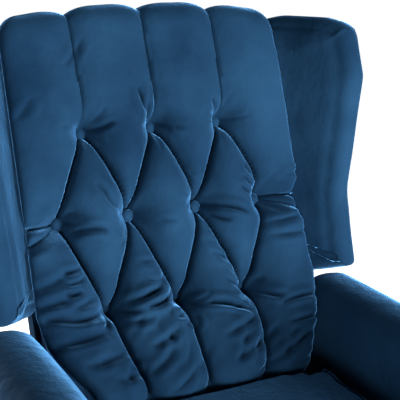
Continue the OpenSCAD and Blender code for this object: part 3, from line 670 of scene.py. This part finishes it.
outline = [(0.001, -3.0), (6, -3.0), (9.0, -2.2), (10.3, 0.0), (10.5, 1.6), (9.9, 3.8), (8.4, 5.8),
           (6.2, 7.2), (3.6, 8.1), (1.8, 8.4), (0.001, 8.5)]
shell, shell_faces = spun(outline)
all_points, all_faces = [], []
for number, (bx, bv) in enumerate(buttons):
    seat_u = face_u + PILLOW + DIMPLE - 4.0
    depth = 7.0 if abs(bx) > 1.4 * button_gap else 0.0
    tilt = math.radians(seeded.uniform(-6, 6))
    p = shell.copy()
    p[:, 0] += p[:, 2] * math.sin(tilt)
    upright = np.stack([bx + p[:, 0], seat_u + depth - p[:, 2], bv + p[:, 1]], axis=1)
    all_faces.append(shell_faces + number * len(shell))
    all_points.append(lean(upright))
button_caps = mesh_object("back_button_caps", np.vstack(all_points), np.vstack(all_faces), weld=0.00005)
dress(button_caps, "back", VELVET, ["back_buttons", "button_ties"])

# %% [markdown]
# ## Wings
# A wing is a flared plywood board wrapped in foam, with a fully rounded front edge. Its outline is drawn
# from the side, pulled through the padding's thickness, and then folded outwards along the line where
# the wing leaves the post. The foam makes the faces belly out a little and the rim shows small tucks.

# %% Both wings
FLARE = math.radians(27.0)
wing_low, wing_high = upright_box("right_wing_pad")
root_u = -25.0
root_x = 229.5
wing_out = np.array([math.sin(FLARE), -math.cos(FLARE)])
wing_side = np.array([math.cos(FLARE), math.sin(FLARE)])
reach_u, wing_top, wing_foot = wing_low[1] - 22.0, wing_high[2] + 3.0, wing_low[2]
thick = 50.0
wing_corners = [
    (rear_u + 58, wing_foot, 6), (reach_u + 118, wing_foot - 5, 16), (reach_u + 66, wing_foot - 4, 10),
    (reach_u + 60, wing_foot + 126, 120), (reach_u + 2, wing_top - 146, 60),
    (reach_u + 2, wing_top - 57, 60),
    (reach_u + 42, wing_top - 33, 60), (reach_u + 122, wing_top - 6, 90), (rear_u + 58, wing_top - 1, 6),
]
wing_ring = rounded(wing_corners, 4.0)
wing_spine = [(-28, wing_foot + 70), (-74, wing_top - 84)]
wing_rows = stations(thick / 2, 23.0, 14, 3.2, bulge=0.0)
wing_points, wing_faces = pad_surface(wing_ring, wing_spine, wing_rows)


def fold_out(points, sign):
    """Turn flat wing points (side, height, through) outwards at the root, for one side of the chair."""
    u, v, c = points[..., 0], points[..., 1], points[..., 2] + thick / 2
    u = np.minimum(u, rear_u + 36.5)
    t = np.maximum(0, (root_u - u) / math.cos(FLARE))
    k = np.clip((u - root_u) / 55.0, 0, 1)
    splay = 7.0 * np.clip(t / 60, 0, 1)
    x = root_x + splay + t * wing_out[0] + c * (wing_side[0] * (1 - k) + 0.42 * k)
    y = np.where(u < root_u, root_u + t * wing_out[1], u) + c * wing_side[1] * (1 - k)
    return lean(np.stack([sign * x, y, v], axis=-1))


for side_name, sign in (("left", -1), ("right", 1)):
    pts = wing_points.copy()
    rim = np.clip(np.abs(pts[..., 2]) / 25.0, 0, 1)
    inner = pts[..., 2] < 0
    u, v = pts[..., 0], pts[..., 1]
    share = np.array([r[2] for r in wing_rows])[:, None] + 0 * u
    belly = 7.0 * np.sin(np.clip(share, 0, 1) * math.pi / 2)
    near_root = np.clip((u + 90) / 60, 0, 1)
    pts[..., 2] += np.where(inner, -belly - (3.5 + 6 * near_root) * np.clip(share * 8, 0, 1), belly)
    tucks = np.zeros(u.shape)
    tuck_places = ((reach_u + 6, wing_top - 62), (reach_u + 14, wing_top - 40), (reach_u + 40, wing_top - 14))
    for tu, tv in tuck_places:
        tucks += np.exp(-(((v - tv + 0.5 * (u - tu)) / 4.0) ** 2) - (((u - tu) / 26.0) ** 2))
    wave = ripple(u / 55, v / 55, sign * 2.0)
    pts[..., 2] += (1.8 * wave + 2.6 * tucks) * np.where(inner, -1, 1)
    wing = mesh_object(f"{side_name}_wing_cover", fold_out(pts, sign), wing_faces)
    mark_crease_shade(wing, 0.5)
    dress(wing, "back", VELVET, [f"{side_name}_wing_pad"])

# %% [markdown]
# ## Piping
# Piping is a cord wrapped in a bias strip, sewn into a seam to sharpen an edge. Here it is a thin tube
# pulled along a line of points. A curve with a bevel would do the same, but a mesh tube keeps its
# ends closed and exports as it is.

# %% Pull a tube along a line


def tube(name, line, radius, sides=10, closed=False):
    """A round tube along a line of points in metres."""
    line = np.asarray(line, float)
    n = len(line)
    if closed:
        along = np.roll(line, -1, 0) - np.roll(line, 1, 0)
    else:
        along = np.gradient(line, axis=0)
    along /= np.linalg.norm(along, axis=1, keepdims=True)
    up_axis = np.array([0.0, 0.0, 1.0]) if abs(along[0][2]) < 0.9 else np.array([1.0, 0.0, 0.0])
    across_axis = np.cross(along[0], up_axis)
    across_axis /= np.linalg.norm(across_axis)
    points = []
    for i in range(n):
        across_axis = across_axis - along[i] * (across_axis @ along[i])
        across_axis /= np.linalg.norm(across_axis)
        other = np.cross(along[i], across_axis)
        for a in np.linspace(0, 2 * math.pi, sides, endpoint=False):
            points.append(line[i] + radius * (math.cos(a) * across_axis + math.sin(a) * other))
    faces = []
    last = n if closed else n - 1
    for i in range(last):
        for j in range(sides):
            a, b = i * sides + j, i * sides + (j + 1) % sides
            c, d = ((i + 1) % n) * sides + (j + 1) % sides, ((i + 1) % n) * sides + j
            faces.append([a, b, c, d])
    if not closed:
        faces.append(list(range(sides))[::-1])
        faces.append([(n - 1) * sides + j for j in range(sides)])
    mesh = bpy.data.meshes.new(name)
    mesh.from_pydata([tuple(p) for p in points], [], faces)
    mesh.validate()
    mesh.shade_smooth()
    piece = bpy.data.objects.new(name, mesh)
    bpy.context.scene.collection.objects.link(piece)
    return piece


def ring_piping(name, line, radius, body):
    """A closed piping in velvet that rides on a body."""
    return dress(tube(name, line, radius, closed=True), body, VELVET)


PIPING = 0.0038

# %% [markdown]
# ## Stuffing by simulation
# A seat pad isn't drawn, it is blown up: the cover is cut a little small and the stuffing pushes it out
# until the cloth is tight. Blender's cloth solver does this with a little air pressure. Points near the
# board under the pad are pinned, and no point may move further than a limit, so the pad can't swell out
# of its place.

# %% Blow a cover up


def blow_up(piece, pinned, limit, pressure=4.0, frames=20, voxel=0.006):
    """Remesh a closed cover evenly, let pressure round it, and keep the result as its mesh."""
    remesh = piece.modifiers.new("even", "REMESH")
    remesh.mode = "VOXEL"
    remesh.voxel_size = voxel
    depsgraph = bpy.context.evaluated_depsgraph_get()
    even = bpy.data.meshes.new_from_object(piece.evaluated_get(depsgraph))
    piece.modifiers.clear()
    piece.data = even
    start = np.array([v.co for v in even.vertices])
    group = piece.vertex_groups.new(name="pinned")
    group.add([int(i) for i in np.where(pinned(start))[0]], 1.0, "REPLACE")
    cloth = piece.modifiers.new("cloth", "CLOTH")
    cloth.settings.quality = 5
    cloth.settings.mass = 0.3
    cloth.settings.tension_stiffness = 12
    cloth.settings.compression_stiffness = 12
    cloth.settings.bending_stiffness = 0.6
    cloth.settings.use_pressure = True
    cloth.settings.uniform_pressure_force = pressure
    cloth.settings.vertex_group_mass = "pinned"
    cloth.settings.effector_weights.gravity = 0.0
    cloth.collision_settings.use_collision = False
    cloth.point_cache.frame_start, cloth.point_cache.frame_end = 1, frames
    for number in range(1, frames + 1):
        bpy.context.scene.frame_set(number)
    depsgraph = bpy.context.evaluated_depsgraph_get()
    blown = piece.evaluated_get(depsgraph).to_mesh()
    end = np.array([v.co for v in blown.vertices])
    piece.evaluated_get(depsgraph).to_mesh_clear()
    move = end - start
    far = np.linalg.norm(move, axis=1, keepdims=True)
    end = start + move * np.minimum(1.0, limit / np.maximum(far, 1e-9))
    piece.modifiers.clear()
    piece.vertex_groups.clear()
    even.vertices.foreach_set("co", end.ravel())
    even.update()
    finer = piece.modifiers.new("finer", "SUBSURF")
    finer.levels = finer.render_levels = 1
    depsgraph = bpy.context.evaluated_depsgraph_get()
    fine = bpy.data.meshes.new_from_object(piece.evaluated_get(depsgraph))
    piece.modifiers.clear()
    piece.data = fine
    fine.shade_smooth()
    bpy.context.scene.frame_set(1)
    print(piece.name, "blown up: moved at most", round(float(far.max()) / MM, 1), "mm, kept to", limit / MM)
    return piece


# %% [markdown]
# ## The seat cushion
# A boxed seat cushion rests on the springs, with piping where its top meets the side bands. Its front
# rolls over the footrest board. We build it from its side outline pulled across the seat, a few
# millimetres small, and the simulation fills it out.

# %% Shape and blow up the seat
seat_low, seat_high = box_mm("seat_cushion")
seat_front, seat_top, seat_half = seat_low[1], seat_high[2], seat_high[0]
seat_deep = seat_high[1] - seat_front
seat_ring = rounded(
    [
        (seat_deep - 3, seat_low[2] + 3, 10), (50, seat_low[2] + 3, 6), (49, seat_low[2] + 32, 4),
        (17, seat_low[2] + 33, 14), (3, seat_top - 44, 16), (3, seat_top - 22, 22), (24, seat_top - 5, 26),
        (300, seat_top - 5, 200), (seat_deep - 58, seat_top - 5, 50), (seat_deep - 4, seat_top - 36, 16),
    ],
    6.0,
)
seat_spine = [(60, seat_top - 48), (seat_deep - 60, seat_top - 48)]
seat_rows = stations(seat_half - 4, 30.0, 7, 6.0)
p, seat_faces = pad_surface(seat_ring, seat_spine, seat_rows)
seat_points = np.stack([p[..., 2], seat_front + p[..., 0], p[..., 1]], axis=-1) * MM
seat_cover = mesh_object("seat_cushion_cover", seat_points, seat_faces)
blow_up(seat_cover, lambda c: c[:, 2] < (seat_low[2] + 8) * MM, 0.016)

# %% Crown, side bands and light dents of a used seat
mesh = seat_cover.data
for vert in mesh.vertices:
    x, y, z = vert.co
    if z > (seat_top - 40) * MM:
        side = min(1.0, abs(x) / (seat_half * MM))
        depth = (y - seat_front * MM) / (seat_deep * MM)
        lift = 0.010 * (1 - side**2) * math.sin(math.pi * min(1, max(0, depth))) ** 0.6 - 0.006 * side**6
        vert.co.z += lift + 0.0022 * noise.noise(Vector((x * 9, y * 9, 1.7)))
    vert.co.z = min(vert.co.z, (seat_top + 9) * MM)
    vert.co.x = max(-(seat_half + 1.5) * MM, min((seat_half + 1.5) * MM, x))
smoother = bmesh.new()
smoother.from_mesh(mesh)
front_band = [v for v in smoother.verts if v.co.y < (seat_front + 62) * MM]
every_way = {"use_axis_x": True, "use_axis_y": True, "use_axis_z": True}
for _ in range(30):
    bmesh.ops.smooth_vert(smoother, verts=front_band, factor=0.5, **every_way)
smoother.to_mesh(mesh)
smoother.free()
mark_crease_shade(seat_cover, 0.4)
dress(seat_cover, "seat", VELVET, ["seat_cushion"])


# %% Piping along the top of the seat, laid on the blown-up cover


def laid_on(piece, x, y, z):
    """The spot on a cover nearest to a point, lifted a little off it."""
    _, place, normal, _ = piece.closest_point_on_mesh(Vector((x, y, z)))
    return tuple(place + 0.0012 * normal)


bpy.context.view_layer.update()
pipe_x, pipe_x_rear = (seat_half - 14) * MM, (seat_half - 34) * MM
rear_y, front_pipe_y = (seat_front + seat_deep - 62) * MM, (seat_front + 4) * MM
line = []
for t in np.linspace(0, 1, 60):
    line.append((-(pipe_x_rear + (pipe_x - pipe_x_rear) * t), rear_y + (front_pipe_y + 0.03 - rear_y) * t))
for a in np.linspace(math.pi, 1.5 * math.pi, 12):
    line.append((-pipe_x + 0.03 + 0.03 * math.cos(a), front_pipe_y + 0.03 + 0.03 * math.sin(a)))
for t in np.linspace(0, 1, 50)[1:-1]:
    line.append((-pipe_x + 0.03 + t * 2 * (pipe_x - 0.03), front_pipe_y))
line += [(-x, y) for x, y in line[71::-1]]
laid = np.array([laid_on(seat_cover, x, y, (seat_top + 8) * MM) for x, y in line])
for _ in range(3):
    laid[1:-1] = 0.25 * laid[:-2] + 0.5 * laid[1:-1] + 0.25 * laid[2:]
seat_pipe = tube("seat_piping", [tuple(p) for p in laid], 0.0042)
dress(seat_pipe, "seat", VELVET)

# %% [markdown]
# ## Arms
# Each arm is a padded box with a half-round top, covered in one piece of velvet over its frame, with a
# front panel sewn in by a piping. We pull the arm's outline from front to back and draw it in a little
# at both ends, then let the foam crown the top.

# %% Both arms
for side_name, sign in (("left", -1), ("right", 1)):
    low, high = box_mm(f"{side_name}_arm_pad")
    front_low, _ = box_mm(f"{side_name}_arm_front_panel")
    _, rear_high = box_mm(f"{side_name}_arm_rear_panel")
    x0, x1 = sorted((abs(low[0]), abs(high[0])))
    y0, y1 = front_low[1], rear_high[1]
    mid_x, mid_y = 0.5 * (x0 + x1), 0.5 * (y0 + y1)
    half_y = 0.5 * (y1 - y0)
    ring = box_outline(x0, low[2], x1, high[2] + 1, 5, 62, 5.0)
    arm_rows = stations(half_y - 9, 9.0, 4, 6.5)
    arm_spine = [(mid_x, low[2] + 60), (mid_x, high[2] - 56)]
    p, arm_faces = pad_surface(ring, arm_spine, arm_rows)
    top = np.clip((p[..., 1] - (high[2] - 120)) / 120, 0, 1)
    along = np.clip(p[..., 2] / half_y, -1, 1)
    n = outward(ring)[None, :, :]
    swell = top * (3.0 * (1 - along**4)) + 1.2
    swell += 1.4 * ripple((p[..., 2] + p[..., 0]) / 70, p[..., 1] / 90, sign * 4.0)
    p[..., 0] += n[..., 0] * swell
    p[..., 1] += n[..., 1] * swell * top
    points = np.stack([sign * p[..., 0], mid_y + p[..., 2], p[..., 1]], axis=-1) * MM
    arm = mesh_object(f"{side_name}_arm_cover", points, arm_faces)
    mark_crease_shade(arm, 0.4)
    dress(arm, "base", VELVET, [f"{side_name}_arm_pad"])
    for end_name, end_y, way in (("front", y0, -1), ("rear", y1, 1)):
        inner = box_outline(x0 + 9, low[2] + 9, x1 - 9, high[2] - 8, 5, 54, 5.0)
        panel_rows = stations(5.0, 4.0, 8, 2.0, bulge=5.0)
        q, panel_faces = pad_surface(inner, arm_spine, panel_rows)
        depth = end_y - way * 7.5 + way * q[..., 2]
        points = np.stack([sign * q[..., 0], depth, q[..., 1]], axis=-1) * MM
        panel = mesh_object(f"{side_name}_arm_{end_name}_facing", points, panel_faces)
        dress(panel, "base", VELVET, [f"{side_name}_arm_{end_name}_panel"])
        pipe = box_outline(x0 + 6, low[2] + 6, x1 - 6, high[2] - 5, 5, 56, 7.0)
        line = np.stack([sign * pipe[:, 0], 0 * pipe[:, 0] + end_y - way * 5.0, pipe[:, 1]], axis=1) * MM
        ring_piping(f"{side_name}_arm_{end_name}_piping", line, PIPING, "base")

# %% [markdown]
# ## The footrest pad and the panels behind
# The footrest is a shallow boxed pad on a plywood board with a piping round its face. Blowing it up
# gives the crowned face. The outside back and the rear panel are velvet pulled tight over board, so they
# stay nearly flat and only their edges roll.

# %% Footrest pad
rest_low, rest_high = box_mm("footrest_pad")
rest_ring = box_outline(rest_low[0] - 1, rest_low[2] - 1, rest_high[0] + 1, rest_high[2] + 1, 12, 12, 6.0)
board_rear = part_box("footrest_board")[1].y / MM - 1.2
rest_half = 0.5 * (board_rear - rest_low[1])
rest_mid = 0.5 * (board_rear + rest_low[1])
rest_middle_z = 0.5 * (rest_low[2] + rest_high[2])
rest_rows = stations(rest_half - 1, 9.0, 14, 5.0)
rest_spine = [(rest_low[0] + 110, rest_middle_z), (rest_high[0] - 110, rest_middle_z)]
p, rest_faces = pad_surface(rest_ring, rest_spine, rest_rows)
points = np.stack([p[..., 0], rest_mid + 1 + p[..., 2], p[..., 1]], axis=-1) * MM
rest_cover = mesh_object("footrest_cover", points, rest_faces)
blow_up(rest_cover, lambda c: c[:, 1] > (rest_low[1] + 14) * MM, 0.010)
for vert in rest_cover.data.vertices:
    vert.co.y = max((rest_low[1] - 7) * MM, min(board_rear * MM, vert.co.y))
    vert.co.x = max((rest_low[0] - 2) * MM, min((rest_high[0] + 2) * MM, vert.co.x))
    vert.co.z = max((rest_low[2] - 2) * MM, min((rest_high[2] + 2) * MM, vert.co.z))
mark_crease_shade(rest_cover, 0.4)
dress(rest_cover, "footrest", VELVET, ["footrest_pad"])
pipe = box_outline(rest_low[0] + 7, rest_low[2] + 7, rest_high[0] - 7, rest_high[2] - 7, 14, 14, 7.0)
line = np.stack([pipe[:, 0], 0 * pipe[:, 0] + rest_low[1] + 5.0, pipe[:, 1]], axis=1) * MM
ring_piping("footrest_piping", line, PIPING, "footrest")

# %% Outside back, drawn as an outline and pulled through its board
out_low, out_high = upright_box("outside_back")
side_v = wing_foot + 2
post_x = root_x - 2.0
out_corners = [
    (-post_x, out_low[2] - 16, 8), (post_x, out_low[2] - 16, 8), (post_x, side_v - 4, 4),
    (out_high[0] - 2, side_v + 6, 14), (out_high[0] - 4, wing_top - 5, 16), (110, top_v - 14, 200),
    (-110, top_v - 14, 200), (out_low[0] + 4, wing_top - 5, 16),
    (out_low[0] + 2, side_v + 6, 14), (-post_x, side_v - 4, 4),
]
out_ring = rounded(out_corners, 7.0)
out_half = 0.5 * (out_high[1] - out_low[1])
out_rows = stations(out_half - 0.5, 6.0, 16, 3.0, bulge=3.0)
p, out_faces = pad_surface(out_ring, [(0, out_low[2] + 180), (0, out_high[2] - 260)], out_rows)
p[..., 2] += 1.2 * ripple(p[..., 0] / 110, p[..., 1] / 110, 6.0) * (p[..., 2] > 0)
out_mid = 0.5 * (out_low[1] + out_high[1])
upright = np.stack([p[..., 0], out_mid + p[..., 2], p[..., 1]], axis=-1)
outside = mesh_object("outside_back_cover", lean(upright), out_faces)
dress(outside, "back", VELVET, ["outside_back"])
pipe = rounded([(x * 0.985, v + (5 if v < 400 else -5), r) for x, v, r in out_corners], 9.0)
line = lean(np.stack([pipe[:, 0], 0 * pipe[:, 0] + out_high[1] - 1.0, pipe[:, 1]], axis=1))
ring_piping("outside_back_piping", line, 0.0036, "back")

# %% Rear panel between the arms
panel_low, panel_high = box_mm("rear_panel")
panel_ring = box_outline(panel_low[0], panel_low[2], panel_high[0], panel_high[2], 4, 4, 7.0)
panel_half = 0.5 * (panel_high[1] - panel_low[1])
middle_z = 0.5 * (panel_low[2] + panel_high[2])
panel_rows = stations(panel_half, 3.0, 8, 2.0, bulge=1.5)
p, panel_faces = pad_surface(panel_ring, [(-150, middle_z), (150, middle_z)], panel_rows)
points = np.stack([p[..., 0], 0.5 * (panel_low[1] + panel_high[1]) + p[..., 2], p[..., 1]], axis=-1) * MM
rear_cover = mesh_object("rear_panel_cover", points, panel_faces)
dress(rear_cover, "base", VELVET, ["rear_panel"])

# %% Velvet sleeves round the back posts, where they show between the wings and the seat
sleeve_in, sleeve_out, sleeve_rear, sleeve_foot = 184.5, 231.5, 31.2, 112
sleeve_ring = box_outline(sleeve_in, -3, sleeve_out, sleeve_rear, 4, 3, 3.0)
heights = np.linspace(sleeve_foot, wing_top - 16, 60)
for side_name, sign in (("left", -1), ("right", 1)):
    sleeve = []
    for v in heights:
        puff = 1.0 * noise.noise(Vector((v / 30, sign * 3.0, 0.5)))
        sleeve.append(np.stack([sign * (sleeve_ring[:, 0] + puff * 0.4), sleeve_ring[:, 1] + 0 * puff,
                                0 * sleeve_ring[:, 0] + v], axis=1))
    sleeve = np.array(sleeve)
    cover = mesh_object(f"{side_name}_post_sleeve", lean(sleeve), ring_faces(*sleeve.shape[:2]))
    dress(cover, "back", VELVET)

# %% [markdown]
# ## Hard finishes
# The frame parts keep their own shapes and only get better surfaces. Wood has stretched noise for its
# grain, plywood shows its layers, and the metals differ in how rough they are: powder coat is matt with a
# fine orange peel, zinc is brighter with cloudy patches.

# %% Wood, metal, felt, twine and plastic


def hard_material(name, dark, light, scale, stretch, rough, metal=0.0, bump=0.0004, layered=0.0):
    """A finish with two tones of stretched noise, its own roughness range and a fine bump."""
    material, tree, shader = new_material(name)
    links = tree.links
    coords = tree.nodes.new("ShaderNodeTexCoord")
    mapping = tree.nodes.new("ShaderNodeMapping")
    mapping.inputs["Scale"].default_value = stretch
    links.new(coords.outputs["Object"], mapping.inputs["Vector"])
    grain = tree.nodes.new("ShaderNodeTexNoise")
    grain.inputs["Scale"].default_value = scale
    grain.inputs["Detail"].default_value = 6.0
    grain.inputs["Distortion"].default_value = 0.6 if metal == 0 else 0.1
    links.new(mapping.outputs["Vector"], grain.inputs["Vector"])
    tone = ramp_node(tree, grain.outputs["Fac"], [(0.32, dark), (0.68, light)])
    colour = tone.outputs["Color"]
    if layered > 0:
        wave = tree.nodes.new("ShaderNodeTexWave")
        wave.bands_direction = "Y"
        wave.inputs["Scale"].default_value = layered
        wave.inputs["Distortion"].default_value = 0.3
        links.new(coords.outputs["Object"], wave.inputs["Vector"])
        mix = tree.nodes.new("ShaderNodeMix")
        mix.data_type = "RGBA"
        mix.blend_type = "MULTIPLY"
        mix.inputs["Factor"].default_value = 0.25
        links.new(colour, mix.inputs["A"])
        links.new(wave.outputs["Color"], mix.inputs["B"])
        colour = mix.outputs["Result"]
    geometry = tree.nodes.new("ShaderNodeNewGeometry")
    worn = ramp_node(tree, geometry.outputs["Pointiness"], [(0.50, (0, 0, 0)), (0.56, (1, 1, 1))])
    edge = tree.nodes.new("ShaderNodeMix")
    edge.data_type = "RGBA"
    edge.inputs["B"].default_value = (*[min(1.0, c * 1.5 + 0.02) for c in light], 1.0)
    links.new(worn.outputs["Color"], edge.inputs["Factor"])
    links.new(colour, edge.inputs["A"])
    links.new(edge.outputs["Result"], shader.inputs["Base Color"])
    spread_roughness(tree, grain.outputs["Fac"], shader, *rough)
    raised = bump_node(tree, grain.outputs["Fac"], 0.3, bump)
    links.new(raised.outputs["Normal"], shader.inputs["Normal"])
    shader.inputs["Metallic"].default_value = metal
    return material


EVEN = (1, 1, 1)
BEECH = hard_material("beech", (0.46, 0.27, 0.13), (0.62, 0.41, 0.23), 9, (6, 1.2, 6), (0.45, 0.62))
PLY = hard_material("birch_ply", (0.52, 0.36, 0.20), (0.68, 0.52, 0.33), 7, (2, 5, 1), (0.5, 0.7),
                    layered=380)
WALNUT = hard_material("walnut_stain", (0.035, 0.016, 0.008), (0.11, 0.052, 0.026), 12, (5, 5, 0.7),
                       (0.25, 0.42))
POWDER = hard_material("powder_coat", (0.012, 0.012, 0.013), (0.022, 0.022, 0.024), 700, EVEN,
                       (0.42, 0.55))
ZINC = hard_material("zinc_plate", (0.50, 0.50, 0.49), (0.70, 0.70, 0.68), 90, EVEN, (0.24, 0.42), metal=1.0)
WIRE = hard_material("spring_steel", (0.20, 0.20, 0.21), (0.38, 0.38, 0.40), 160, EVEN, (0.3, 0.5), metal=1.0)
FELT = hard_material("grey_felt", (0.10, 0.10, 0.11), (0.24, 0.24, 0.25), 420, EVEN, (0.85, 0.98), bump=0.001)
TWINE = hard_material("waxed_twine", (0.50, 0.45, 0.34), (0.74, 0.70, 0.58), 600, EVEN, (0.6, 0.8))
GLIDE = hard_material("glide_plastic", (0.018, 0.018, 0.02), (0.03, 0.03, 0.033), 500, EVEN, (0.45, 0.6))
finishes = [
    (("pins", "bolts", "screws"), ZINC), (("springs",), WIRE), (("clips",), ZINC), (("felt",), FELT),
    (("ties",), TWINE), (("glides",), GLIDE), (("legs",), WALNUT), (("wing_board", "footrest_board"), PLY),
    (("arm_frame", "cross_rail", "seat_frame", "back_frame"), BEECH),
    (("rail", "links", "plate", "bracket", "tube"), POWDER),
]
for name, part in frame["nodes"].items():
    for words, finish in finishes:
        if any(word in name for word in words):
            for material_slot in part.material_slots:
                material_slot.material = finish
            break
    else:
        print("no hard finish for", name)

# %% [markdown]
# ## Floor, light and camera
# A plain pale floor, an even pale sky and three big soft lamps, as in a small studio. Velvet needs light
# from several sides: the sheen only shows where a lamp meets the pile at a glancing angle.

# %% Floor and sky
scene = bpy.context.scene
scene.view_settings.view_transform = "Standard"
floor_mesh = bpy.data.meshes.new("floor")
floor_mesh.from_pydata([(-40, -40, 0), (40, -40, 0), (40, 40, 0), (-40, 40, 0)], [], [(0, 1, 2, 3)])
floor = bpy.data.objects.new("floor", floor_mesh)
scene.collection.objects.link(floor)
paint, paint_tree, paint_shader = new_material("studio_floor")
paint_shader.inputs["Base Color"].default_value = (0.94, 0.94, 0.94, 1)
paint_shader.inputs["Roughness"].default_value = 0.9
paint_shader.inputs["Specular IOR Level"].default_value = 0.1
paint_shader.inputs["Emission Color"].default_value = (1.0, 1.0, 1.0, 1)
paint_shader.inputs["Emission Strength"].default_value = 0.92
floor_mesh.materials.append(paint)
floor.visible_diffuse = False
floor.visible_glossy = False
world = bpy.data.worlds.new("studio")
world.use_nodes = True
scene.world = world
sky = world.node_tree.nodes["Background"]
sky.inputs["Color"].default_value = (0.96, 0.98, 1.0, 1.0)
toward = world.node_tree.nodes.new("ShaderNodeTexCoord")
parts = world.node_tree.nodes.new("ShaderNodeSeparateXYZ")
steep = world.node_tree.nodes.new("ShaderNodeMath")
steep.operation = "ABSOLUTE"
level = world.node_tree.nodes.new("ShaderNodeMapRange")
level.inputs["From Max"].default_value = 0.75
level.inputs["To Min"].default_value = 0.34
level.inputs["To Max"].default_value = 0.05
world.node_tree.links.new(toward.outputs["Generated"], parts.inputs["Vector"])
world.node_tree.links.new(parts.outputs["Z"], steep.inputs[0])
world.node_tree.links.new(steep.outputs["Value"], level.inputs["Value"])
world.node_tree.links.new(level.outputs["Result"], sky.inputs["Strength"])


# %% Lamps aimed at the back cushion
cushion_box = [Vector(c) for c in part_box("back_cushion")]
middle_point = 0.5 * (cushion_box[0] + cushion_box[1])


def soft_lamp(name, offset, size, power):
    lamp = bpy.data.lights.new(name, "AREA")
    lamp.shape = "DISK"
    lamp.size = size
    lamp.energy = power
    holder = bpy.data.objects.new(name, lamp)
    holder.location = middle_point + Vector(offset)
    holder.rotation_euler = (-Vector(offset)).to_track_quat("-Z", "Y").to_euler()
    scene.collection.objects.link(holder)
    return holder


soft_lamp("right_front_lamp", (1.15, -2.5, -0.08), 1.1, 250)
soft_lamp("left_front_lamp", (-1.2, -2.4, -0.15), 1.2, 70)
soft_lamp("rear_lamp", (-0.9, 2.6, -0.2), 1.6, 40)

# %% Camera
camera_data = bpy.data.cameras.new("camera")
camera_data.sensor_width = 36
camera_data.lens = 87.6
camera = bpy.data.objects.new("camera", camera_data)
yaw, pitch, roll = math.radians(-27.4), math.radians(90 - 16.0), math.radians(0.7)
camera.rotation_mode = "XYZ"
turn = Matrix.Rotation(yaw, 3, "Z") @ Matrix.Rotation(pitch, 3, "X") @ Matrix.Rotation(roll, 3, "Z")
camera.rotation_euler = turn.to_euler("XYZ")
camera.location = hinge + Vector((-0.6649, -1.3272, 0.8734))
scene.collection.objects.link(camera)
scene.camera = camera
print("camera at", [round(c, 3) for c in camera.location])

# %% Update the scene and finish
bpy.context.view_layer.update()
